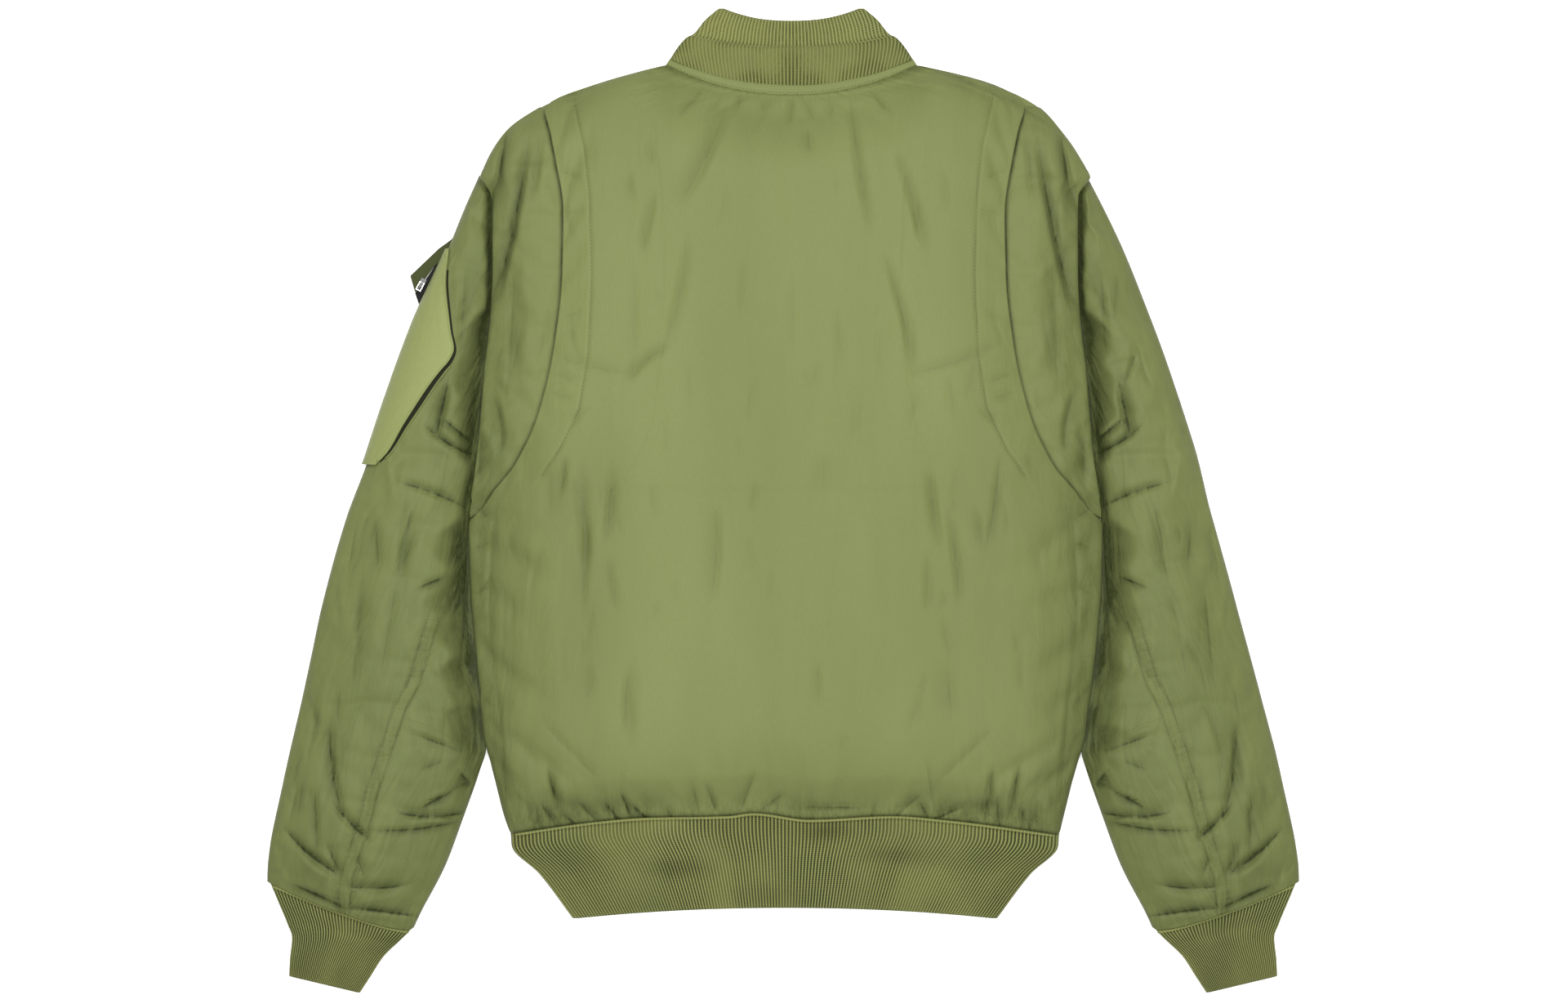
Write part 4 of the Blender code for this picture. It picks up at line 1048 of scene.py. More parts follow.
@dataclass
class Body:
    """Back, side and front panels of the body."""

    form: BodyForm
    row_cell: float = 6.6
    column_cell: float = 4.1
    side_cell: float = 5.0
    front_cell: float = 8.0
    pleat_under: float = 14.0
    pleat_gap: float = 1.0
    pleat_step: float = 6.0
    zip_shift: float = 1.5
    channel: float = 9.0
    over_sleeve: float = 3.6
    side_seam: float = 15.0
    gather_y: float = -262.0
    # Height, humps' width and length, and seed: of the padding, and of the gathers above the hem.
    waves: Table = ((0.9, 46, 150, 3), (0.45, 17, 70, 5), (0.16, 5, 26, 7))
    gathers: Table = ((2.0, 7.5, 60, 9), (0.8, 3.6, 40, 11))
    folds: Folds = Folds(
        rows=(
            # Long creases of the upper back.
            (-44, 330, -85, 244, 2.4, 9, 3), (-106, 252, -116, 203, 2, 5, 0, -0.3),
            (-122, 200, -122, 102, 0.9, 6), (-80, 216, -100, 122, 1.5, 5.5, 4, 0.3),
            (-95, 126, -127, 99, 2.6, 5, -3), (55, 336, 72, 220, 2.1, 5, -2, 0.2),
            (95, 286, 118, 204, 2, 5.5, 0, 0.3), (83, 202, 107, 103, 2.2, 4.5, 3, 0.3),
            (20, 308, 22, 286, 1.8, 7), (-186, 118, -126, 104, 1.3, 5, -2),
            (184, 132, 102, 103, 1.3, 5, 3), (-34, 200, -36, 150, 0.8, 6), (8, 190, 8, 120, 0.7, 6),
            (44, 160, 48, 110, 0.8, 6),
            # The shoulder seam where the right front rolls over the top.
            (112, 364, 175, 337, 1.6, 1.5), (172, 339, 224, 309, 1.6, 1.5), (128, 349, 176, 330, 0.9, 3),
            (150, 352, 205, 330, -0.9, 5),
            # Gathers below the neck.
            (-34, 337, -38, 321, 1.8, 3), (-14, 335, -18, 323, 1.4, 3), (8, 335, 6, 310, 1.6, 3.2),
            (17, 334, 25, 314, 1.4, 3.5), (38, 335, 40, 318, 1.6, 3), (71, 340, 87, 320, 1.8, 3),
            (-62, 345, -86, 316, 1.6, 4), (-50, 338, -58, 322, 1.2, 2.6),
            # Long creases of the lower back.
            (-178, 35, -182, 6, 2.2, 3.5), (-191, 26, -192, -14, 1.3, 10),
            (-164, 27, -165, -92, 2, 5, 2, -0.2), (-161, -16, -162, -54, 2, 4),
            (-142, 30, -146, -32, 2.5, 5, 2, 0.3), (-144, -48, -138, -90, 1.4, 4),
            (-56, -3, -60, -84, 1.7, 8, 3), (-126, -136, -128, -194, 1.9, 6.5, -2, 0.5),
            (-160, -133, -160, -164, 1.2, 9), (121, 28, 130, -40, 2.3, 5, -2, -0.2),
            (135, -10, 144, -84, 2.1, 4.5, 2, 0.2), (177, 37, 166, -40, 2.1, 4, 2),
            (158, -6, 164, -38, 1.7, 3), (118, -44, 118, -90, 1.6, 4.5), (29, -132, 29, -168, 1.4, 4),
            (33, 40, 32, 4, 0.9, 16), (135, -136, 138, -176, 1.4, 9), (-196, -184, -152, -229, 1.2, 4),
            (172, -187, 130, -229, 1.2, 4), (-24, 14, -26, -10, 0.9, 4),
            # Gathers above the hem.
            (-194, -220, -184, -260, 4.4, 3.2, 0, 0.4), (-199, -251, -188, -269, 3.2, 2.6),
            (-184, -257, -169, -270, 2.8, 2.4), (-168, -250, -154, -266, 2.8, 3),
            (-147, -250, -134, -266, 3.2, 2.6), (-134, -241, -125, -264, 3.6, 2.6, 0, 0.3),
            (-127, -250, -110, -265, 3.6, 2.6), (-64, -234, -55, -258, 3, 4, 0, 0.3),
            (-74, -236, -70, -258, 1.6, 3), (-23, -224, -35, -256, 2.4, 3, 0, -0.3),
            (-19, -256, 1, -241, 2.2, 3), (6, -244, 10, -262, 1.4, 3), (14, -253, 67, -254, 2.6, 5),
            (92, -263, 113, -243, 3, 2.6), (112, -247, 122, -266, 2.6, 2.6),
            (123, -265, 148, -253, 2.8, 2.6), (166, -266, 172, -220, 3.8, 3, 0, -0.3),
            (185, -262, 194, -220, 4, 3, 0, -0.3), (150, -256, 157, -270, 2.2, 2.4),
            (176, -248, 180, -272, 2.4, 2.4), (196, -254, 205, -272, 2.2, 2.4),
            (-213, -248, -206, -272, 2.2, 2.6), (-96, -254, -90, -266, 1.6, 2.4),
            (76, -250, 72, -264, 1.4, 2.6),
        )
        + scattered(101, 26, (-236.0, -95.0), (-240.0, 300.0), 0.0, (0.4, 1.1))
        + scattered(103, 26, (95.0, 236.0), (-240.0, 300.0), 0.0, (0.4, 1.1))
        + scattered(105, 16, (-95.0, 95.0), (-240.0, 320.0), 0.0, (0.3, 0.7)),
        mirrored=(
            # Deep folds from the shoulder down along the armhole.
            (-229, 304, -240, 236, 7, 5, 0, 0.2), (-210, 294, -239, 160, 7, 5.5, 2, -0.3),
            (-200, 302, -206, 250, 2, 7), (-222, 200, -226, 90, 1.6, 9), (-240, 90, -232, 40, 2.4, 5, 3),
            (-246, 60, -250, 10, 2, 4), (-214, 150, -222, 110, 1, 6),
            # The side seam, a little in from the edge, and short puckers across it.
            (-237, -4, -241, -120, 1.3, 3, -3), (-241, -118, -229, -254, 1.3, 3, 2),
            (-254, -6, -240, -16, 2, 3), (-255, -40, -242, -34, 1.6, 3), (-254, -78, -243, -70, 1.6, 3),
            (-252, -150, -240, -170, 1.2, 3),
            # Short puckers between the pleat and the stitching beside it.
            (-189, 104, -171, 98, 1.1, 2.6), (-191, 90, -173, 84, 1.2, 2.6),
            (-186, 272, -166, 265, 1.2, 2.8), (-181, 236, -162, 240, 0.9, 2.6),
            (-176, 62, -160, 76, 1.2, 3), (-182, 150, -166, 156, 0.8, 3),
        ),
    )
    # The line of stitching beside each pleat, on the left side.
    beside_pleat: tuple[Point, ...] = (
        (-174, 336), (-164, 293), (-159, 252), (-157, 185), (-160, 120), (-167, 76), (-183, 43),
        (-199, 20),
    )

    def build(self) -> list[Panel]:
        """Makes the body's panels, before they are puffed."""
        panels = [self.back_centre()]
        for label, side in SIDES:
            panels += [self.back_side(label, side), self.front(label, side)]
        return panels

    def panel(self, name: str, outer: Array, inner: Array) -> Panel:
        """A panel between two faces, which stands for the solid that is named like it."""
        thing, held = shell(name, outer, inner), held_points(outer.shape[:2])
        return Panel(thing, held, (name.replace("cloth", "panel"),), self.creased, held * 0.0)

    def back_edge_at(self, y: Array) -> tuple[Array, Array]:
        """Half width and shift of the centre panel's outer edge."""
        top, bottom = self.form.pleat[0][0], self.form.pleat[-1][0]
        rows = [row for row in self.form.sides if row[0] > top or row[0] < bottom]
        rows += list(self.form.pleat)
        return smooth(rows, y, 1), smooth(rows, y, 2)

    def back_centre(self) -> Panel:
        """The back's centre panel, whose edges lie over the side panels."""
        form = self.form
        low, high = form.ends
        ys = np.linspace(low, high, int((high - low) / self.row_cell))
        for fixed in (form.pleat[-1][0], form.pleat[0][0]):
            ys[np.argmin(np.abs(ys - fixed))] = fixed
        t = np.linspace(-1, 1, int(510 / self.column_cell))
        u, y = np.meshgrid(0.75 * t + 0.25 * np.sin(t * math.pi / 2), ys)
        half, shift = self.back_edge_at(y)
        over = np.interp(y, [-15, 8, 326, 347], [0, self.pleat_under, self.pleat_under, 0])
        x = shift + u * (half - SEAM / 2)
        top = y + form.ease(y, x, u, form.neck[2], form.seam)
        outer = grid(x, top, form.back(x, top))
        inner = grid(shift + u * (half - SEAM / 2 - over), top, form.back_under)
        return self.panel("back_centre_cloth", outer, inner)

    def back_side(self, label: str, side: int) -> Panel:
        """A side panel of the back, tucked under the pleat's edge."""
        form = self.form
        rows = int(341 / self.side_cell)
        t, y = np.meshgrid(np.linspace(0, 1, 23), np.linspace(form.pleat[-1][0], form.pleat[0][0], rows))
        share = 0.6 * t + 0.4 * (1 - np.cos(t * math.pi)) / 2
        pleat = smooth(form.pleat, y, 2) + side * smooth(form.pleat, y, 1)
        least, beside = form.back_edge - 1.5, form.back(pleat, y)
        lip = np.maximum(beside - self.pleat_step, least)
        armhole = form.armhole(y, side)
        under = np.interp(y, [-15, 8], [0, self.pleat_under])
        low = pleat - side * (under - self.pleat_gap)
        slope = under / np.maximum(beside - form.back_under, 1.0)
        start = pleat - side * (slope * (beside - lip) - self.pleat_gap)
        x = start + (armhole - start) * share
        step = self.pleat_step * unit(1.0 - np.abs(x - pleat) / 30.0)
        z = np.maximum(np.minimum(form.back(x, y), beside + 1.0) - step, least)
        outer = grid(x, y, np.where(share == 0.0, lip, z))
        inner = grid(low + (armhole - low) * share, y, form.back_under)
        return self.panel(f"back_side_cloth_{label}", outer, inner)

    def front(self, label: str, side: int) -> Panel:
        """A front panel, flat on the surface beside the zip."""
        form = self.form
        low, high = form.ends
        rows = int((high - low) / self.front_cell)
        t, y = np.meshgrid(np.linspace(0, 1, 34), np.linspace(low, high, rows))
        u, edge = np.sin(t * math.pi / 2), form.armhole(y, side)
        x, zip_x = (self.zip_shift + side * aside for aside in (self.channel, SEAM / 2))
        x = x + (edge - x) * u
        place = y + form.ease(y, x, u, high - form.front_neck, form.front_seam)
        outer = grid(x, place, form.front(x, place))
        inner = grid(zip_x + (edge - zip_x) * u, place, form.layers_meet)
        made = self.panel(f"front_cloth_{label}", outer, inner)
        made.held, made.folds = np.ones(t.size * 2), self.front_creased
        return made

    def creased(self, points: Array, facing: Array, bare: Array) -> Creased:
        """Moves the back's points along its folds and small unevennesses.

        Args:
            points: The points, in millimetres.
            facing: Their normals.
            bare: 1 where nothing lies on them.

        Returns:
            The moved points, and what the finish reads there: painted shade, crease lines and puckers.
        """
        x, y, z = points.T
        form, away = self.form, np.abs(x)
        inside, top = form.inside(x, y), form.back(x, y)
        above, across = y - form.seam(x), form.half(y) - np.abs(x - form.shift(y))
        below = form.neck[1] + form.neck[2] * ((x - form.neck_shift) / form.neck[0]) ** 2 - y
        off, _, side = to_line(-away, y, self.beside_pleat)
        gather = bell(y - self.gather_y, 15.0) * unit((226 - away) / 20)
        puckers = np.exp(-positive(below) / 12.0) * (away < 120)
        small = ripples(x, y, self.gathers)
        down, line, sharp = self.folds.depth(x, y)
        # Painted shade in folds and gathers, in lines above the hem seam and below the neck strip, and along
        # the stitching beside the pleats.
        shade = self.shade(x, y, inside, across) + 0.08 * positive(down) + 0.08 * gather * positive(small)
        shade += 0.30 * bell(above, 2.2) + 0.22 * bell(below, 2.0) * (away < 108) + 0.10 * bell(off, 1.3)
        down += ripples(x, y, self.waves) * unit(inside / 24.0) + gather * (small + 0.5)
        down += puckers * 0.5 * mottle(x / 5.0, y / 90, 13)
        # The slopes down to the hem seam and to the neck seam.
        for far, low, slope, reach, ease, sideways in (
            (above, 21.0, 0.5, 60, 45, (235 - away) / 25),
            (below, 19.5, 0.35, 70, 50, (118 - np.abs(x - form.neck_shift)) / 20),
        ):
            steep = positive(top - low - slope * positive(far))
            down += steep * unit((reach - far) / ease) * unit(sideways)
        # The line of stitching beside the pleat, and the doubled cloth between the two.
        doubled = unit(0.5 + side * off / 2.0) * (off < 60) * unit((y + 10) / 40)
        down += 0.7 * bell(off, 1.1) - 0.5 * (1.0 - doubled) * (y > 10)
        down *= np.where(y < -200, np.clip(above / 7, 0.2, 1), 1.0)
        free = unit(facing[:, 2] * 1.5) * unit((z - self.side_seam - 0.5) / 3.0)
        moved = points.copy()
        moved[:, 2] -= down * free * bare
        moved[:, 2] = np.where(free > 0, np.maximum(moved[:, 2], self.side_seam), moved[:, 2])
        over = self.over_sleeve * unit((y + 215) / 20) * unit((275 - y) / 8) * bell(inside - 2.5, 3.5)
        moved[:, 0] += np.sign(x) * over * (away > 200) * unit((z - self.side_seam - 0.3) / 1.2)
        sharp = sharp * np.where(y < -215, 0.9, 0.48)
        seamed = (off < LINE_SEEN) & (y > -10) & (sharp < 0.2)
        line, sharp = np.where(seamed, off * side, line), np.where(seamed, 0.2, sharp)
        gathered = gather + 0.5 * puckers + 0.35 * unit((45 - across) / 45)
        return moved, cloth_notes(np.clip(shade, 0, 0.85), line, sharp * bare, gathered)

    def shade(self, x: Array, y: Array, inside: Array, across: Array) -> Array:
        """Painted shade: how much darker the back is towards its sides and outline and under the pleats, with
        a little random tone.

        Args:
            x: Places across.
            y: Places along.
            inside: Distance to the outline.
            across: Distance to the outline's side.

        Returns:
            The share of the painted shade's dark colour.
        """
        # Painted shade where the light falls off towards the sides and the outline, and under the pleat's
        # edge.
        by_side = 0.11 * unit((70 - across) / 70) + 0.12 * unit((150 - across) / 60)
        by_neck = unit((y - 250) / 60) * unit((170 - np.abs(x)) / 40)
        rim = 0.10 * unit((40 - inside) / 40) * (1.0 - by_neck)
        pleat = np.abs(x - smooth(self.form.pleat, y, 2)) - smooth(self.form.pleat, y, 1)
        under = bell(pleat - 0.4, 1.9) * (pleat > -0.3) * unit((y + 15) / 20) * unit((326 - y) / 12)
        under = under * (0.45 + 0.4 * unit((y - 90) / 80))
        return by_side * (1.0 - 0.7 * unit(y / 80)) + rim + 0.04 * mottle(x / 60, y / 90, 15) + under

    def front_creased(self, points: Array, facing: Array, bare: Array) -> Creased:
        """Leaves a front flat where it rests, with faint waves over its rounded rim."""
        x, y, z = points.T
        free = unit(-facing[:, 2]) * unit(z / 4.0) * unit((13.0 - z) / 3.0) * bare
        moved = points.copy()
        moved[:, 2] = positive(z + 0.5 * mottle(x / 15, y / 22, 17) * free)
        # The fronts are made a little darker all over through the fold note.
        return moved, {"fold": np.full(x.shape, 0.1)}


def cloth_notes(shade: Array, line: Array, sharp: Array, gathered: Array) -> dict[str, Array]:
    """What the nylon reads at each point of a creased panel: painted shade, crease lines, their sharpness and
    puckers.
    """
    return {"fold": shade, "crease": line / 10, "pinch": sharp, "gather": gathered}


@dataclass(frozen=True)
class PocketForm:
    """Where the pocket lies on the left sleeve, and how it stands off it."""

    # Section of the sleeve, share of its width at the pocket's inner edge, and how far it stands off.
    rows: Table = (
        (1.9, 0.96, 0.8), (2, 0.925, 1), (2.5, 0.78, 1.6), (3, 0.62, 2.6), (3.4, 0.51, 3.2),
        (3.8, 0.41, 3.2), (4, 0.435, 3.2), (4.25, 0.507, 3.2), (4.6, 0.59, 3.2), (5, 0.665, 3.2),
        (5.5, 0.745, 3), (6, 0.81, 2.6), (6.25, 0.885, 2.4),
    )
    raised: float = 4.8
    lift_from: float = 0.4
    lift_to: float = 7.6
    lift_ease: float = 0.6
    wrap: float = 0.42

    def lift(self, section: Array, share: Array) -> Array:
        """How far the sleeve's underside is held up by the pocket under it."""
        within = np.minimum(section - self.lift_from, self.lift_to - section)
        return self.raised * quarter(within, self.lift_ease) * quarter(share - self.wrap + 0.3, 0.22)

    def covers(self, section: Array, share: Array) -> Array:
        """1 where the pocket lies on the sleeve, fading out beside it."""
        within = unit((share - smooth(self.rows, section, 1)) / 0.03 + 2.0)
        return within * unit((section - 1.75) * 8) * unit((6.35 - section) * 8)


@dataclass
class Sleeves:
    """Outer and under panels of both sleeves."""

    form: SleeveForm
    pocket: PocketForm
    cell: float = 4.6
    columns: int = 30
    lap: float = 0.4
    valley_floor: float = 18.4
    slant: float = 0.26
    felled_wide: float = 9.0
    # The padding's unevenness: its height, its humps' width and length, and its seed.
    waves: Table = ((0.8, 26, 90, 21), (0.4, 10, 40, 23), (0.18, 4.5, 22, 25))
    # The valley beside the body: place along it, how dark its painted shade is, and how wide the shaded part
    # is, which also sets how wide the sunk part is.
    valley: Table = (
        (268, 0.3, 3), (250, 0.9, 3.4), (228, 0.95, 4.2), (211, 0.85, 2), (160, 0.85, 1.8), (150, 0.85, 8),
        (136, 0.95, 9), (122, 0.75, 9), (110, 0.55, 11), (96, 0.72, 12), (80, 0.85, 10), (60, 0.95, 7.5),
        (38, 0.97, 6.5), (28, 0.75, 3), (8, 0.7, 2.4), (-10, 0.6, 3), (-29, 0.78, 11), (-50, 0.9, 13),
        (-72, 0.85, 15), (-88, 0.75, 19), (-101, 0.62, 21), (-116, 0.68, 16), (-134, 0.85, 13),
        (-150, 0.62, 15), (-163, 0.4, 15), (-176, 0.66, 17), (-192, 0.66, 18), (-206, 0.5, 15),
        (-220, 0.3, 13), (-240, 0.2, 14), (-270, 0, 12),
    )
    folds: Folds = Folds(
        rows=scattered(107, 36, (-330.0, -262.0), (-300.0, 200.0), -0.18, (0.3, 1.1))
        + scattered(109, 36, (262.0, 330.0), (-300.0, 200.0), 0.18, (0.3, 1.1)),
        mirrored=(
            # Between the armhole and the elbow.
            (-276, 98, -286, 52, 4.5, 7), (-294, 61, -256, 37, 4, 3.4, -2), (-279, 67, -258, 49, 4, 3),
            (-316, 15, -264, -5, 3.6, 4, 2), (-336, -12, -333, -54, 1.9, 7), (-306, -6, -316, -62, 2.3, 7),
            (-299, -71, -279, -63, 3.2, 3), (-262, 190, -266, 120, 1.6, 6), (-276, 190, -272, 150, 1.4, 6),
            (-290, 120, -281, 97, 3, 3), (-286, 130, -280, 102, -1.6, 3), (-346, -60, -354, -150, 1.4, 9),
            (-318, -70, -330, -140, 1.2, 6), (-367, -66, -361, -104, -1.4, 3),
            (-327, 42, -321, 2, -1.8, 4), (-352, -20, -360, -66, 1.2, 6),
            # The elbow's cross seam and the crushed folds below it.
            (-314, -180, -272, -197, -2.2, 3.2, -2), (-304, -192, -268, -206, 2.2, 5),
            (-298, -253, -260, -232, 6, 3.4), (-316, -257, -263, -258, 5.5, 3.4, -3),
            (-288, -243, -262, -236, -2.6, 3), (-300, -262, -272, -264, -2, 3),
            (-340, -271, -266, -264, 3, 3.4, -3), (-300, -222, -280, -214, 1.6, 5),
            # Down the forearm to the cuff.
            (-373, -186, -364, -254, 3.4, 6, -3, -0.3), (-369, -250, -340, -280, 6, 3.2, -2, 0.3),
            (-386, -238, -384, -290, 2.4, 5), (-411, -272, -365, -309, 6.5, 3.2, -3, 0.3),
            (-398, -296, -372, -314, -2.4, 5), (-376, -283, -365, -310, 2.6, 4),
            (-403, -318, -364, -336, 5, 4), (-362, -318, -308, -316, 3.4, 5, -3),
            (-350, -330, -318, -326, -2.2, 4), (-361, -337, -301, -345, 4, 3, 1),
            (-396, -230, -400, -262, 1.2, 6), (-352, -292, -346, -310, 1.8, 4),
            (-266, -224, -258, -238, 3.4, 4),
        ),
    )
    # The felled seam down the forearm, on the left side.
    felled: tuple[Point, ...] = (
        (-283, -96), (-300, -152), (-311, -172), (-324, -210), (-333, -237), (-341, -267), (-347, -285),
        (-356, -312), (-359, -338),
    )

    def build(self) -> list[Panel]:
        """Makes the four sleeve panels, before they are puffed."""
        panels = []
        for label, side in SIDES:
            panels.append(self.panel(f"sleeve_outer_cloth_{label}", side, 0, True))
            panels.append(self.panel(f"sleeve_under_cloth_{label}", side, self.form.first_under, False))
        return panels

    def panel(self, name: str, side: int, first: int, outer: bool) -> Panel:
        """One sleeve panel, folded round its edge from the seam on top to the seam below."""
        form = self.form
        numbers = form.stations(first, form.sections[-1][0], self.cell)
        count, way, end = (self.columns, 1.0, 1.0) if outer else (self.columns - 8, -1.0, 0.0)
        q = np.sin(np.linspace(0, math.pi / 2, count))
        q, number = np.meshgrid(np.concatenate([q, [1.0], q[::-1]]), numbers)
        layer = np.broadcast_to(np.concatenate([np.ones(count), [0.0], -np.ones(count)]), q.shape)
        width = form.width(number)
        start = form.column(number, 7) - self.lap * way / width
        reach = np.abs(end - start)
        shrink = 1.0 - np.minimum(form.fold / width, reach / 2) / reach
        bulge = np.where((number > form.last_by_body) | outer, form.edge_bulge, 0.2) * (layer == 0)
        share = start + (end - start) * q + bulge * way / width
        within = start + (end - start) * q * shrink + bulge * way / 2 / width
        middle = form.level(number)
        heights = [form.height(number, share, face) for face in Layer]
        covered = np.zeros(q.shape)
        if outer and side < 0:
            heights[1] = np.minimum(heights[1] + self.pocket.lift(number, share), middle - form.edge_layer)
            covered = self.pocket.covers(number, share) * (layer >= 0)
        z = np.where(layer > 0, heights[0], np.where(layer < 0, heights[1], middle))
        outside = grid(*form.place(number, share, side), z)
        inside = grid(*form.place(number, within, side), middle + layer * form.slit / 2)
        held = held_points(q.shape, (layer > 0) & (q < 0.97) & (covered < 0.5))
        covered = np.concatenate([covered.ravel(), np.zeros(covered.size)])
        thing = shell(name, outside, inside)
        return Panel(thing, held, (name.replace("cloth_", ""),), self.creased, covered)

    def creased(self, points: Array, facing: Array, bare: Array) -> Creased:
        """Moves a sleeve's points along its folds and small unevennesses.

        Args:
            points: The points, in millimetres.
            facing: Their normals.
            bare: 1 where nothing lies on them.

        Returns:
            The moved points, and what the finish reads there: painted shade, crease lines and puckers.
        """
        x, y, z = points.T
        away, body = np.abs(x), self.form.body
        along, across = y + away * self.slant, away + y * self.slant
        down, line, sharp = self.folds.depth(x, y)
        # Painted shade in folds.
        shade = 0.09 * positive(down)
        down += ripples(across, along, self.waves)
        cuff = np.exp(-positive(y + 330 + 0.25 * (420 - away)) / 12.0)
        down += cuff * 0.9 * mottle(across / 6.0, along / 40, 27)
        # The felled seam: a raised, puckered band between two rows of stitches, with painted shade in its
        # stitch lines and puckers.
        off, share, side = to_line(-away, y, self.felled)
        second = off - self.felled_wide
        band = (side < 0) * unit((12.0 - off) / 2.0) * unit(share * 12)
        ladder = np.sin(share * 250 / 5.6 * 2 * math.pi) * 0.5 + mottle(share * 45, off / 9, 29)
        stitched = bell(off, 1.2) + 0.7 * bell(second, 1.2) * (side < 0)
        down += band * (-0.5 + 0.5 * ladder) + 0.6 * stitched
        shade += 0.10 * stitched + 0.12 * band * positive(ladder)
        # Painted shade: the sleeves darker all over and more towards the cuff, for the shade of their fine
        # creases and slopes, with a little random tone.
        shade += 0.19 + 0.13 * unit((60 - along) / 260) + 0.05 * mottle(across / 22, along / 50, 35)
        # The valley beside the body: sunk, and darkened with painted shade.
        beside = np.abs(x - body.shift(y)) - body.half(y)
        dark, wide = smooth(self.valley, y, 1), smooth(self.valley, y, 2)
        wide = wide * (1.0 + 0.3 * mottle(y / 14, np.sign(x) * 3.0, 39))
        rise = unit(beside / (1.9 * wide + 4.0))
        sunk = 1.0 - rise * rise * (3.0 - 2.0 * rise)
        sunk *= unit((268 - y) / 10) * unit((y + 262) / 40) * (z > 17.0)
        near = bell(positive(beside - 4.2), wide)
        shade += dark * near * (0.98 + 0.12 * mottle(across / 9, along / 30, 37)) * (1.0 - shade)
        edge = np.array(self.form.sections)[::-1]
        outward = np.interp(y, edge[:, 2], edge[:, 1]) - away
        # Painted shade near the body, and a painted highlight along the sleeve's outer edge.
        shade += 0.14 * bell(beside, 34.0) - 0.09 * bell(outward - 16, 16.0)
        free = unit(facing[:, 2] * 2.5 + 0.3) * unit((z - 17.5) / 3.0) * bare
        bottom = self.valley_floor + 0.5 * mottle(across / 7, along / 24, 33)
        level = np.maximum(z - down * free, np.minimum(z, self.valley_floor))
        level = np.where(sunk > 0, level + (np.minimum(bottom, level) - level) * sunk, level)
        moved = points.copy()
        moved[:, 2] = np.where((free > 0) | (sunk > 0) & (facing[:, 2] > 0), level, z)
        for place, drawn, strength in ((off, off * side, 0.32), (second, second, 0.18 * (side < 0))):
            seamed = (np.abs(place) < LINE_SEEN) & (share > 0.01) & (share < 0.99) & (sharp < strength)
            line, sharp = np.where(seamed, drawn, line), np.where(seamed, strength, sharp)
        shade = np.clip(shade, 0, 0.97) * unit(facing[:, 2] * 3.0 + 1.0)
        return moved, cloth_notes(shade, line, sharp * bare, 0.8 * cuff + 0.3 * band + 0.5 * near)


# ---- pocket


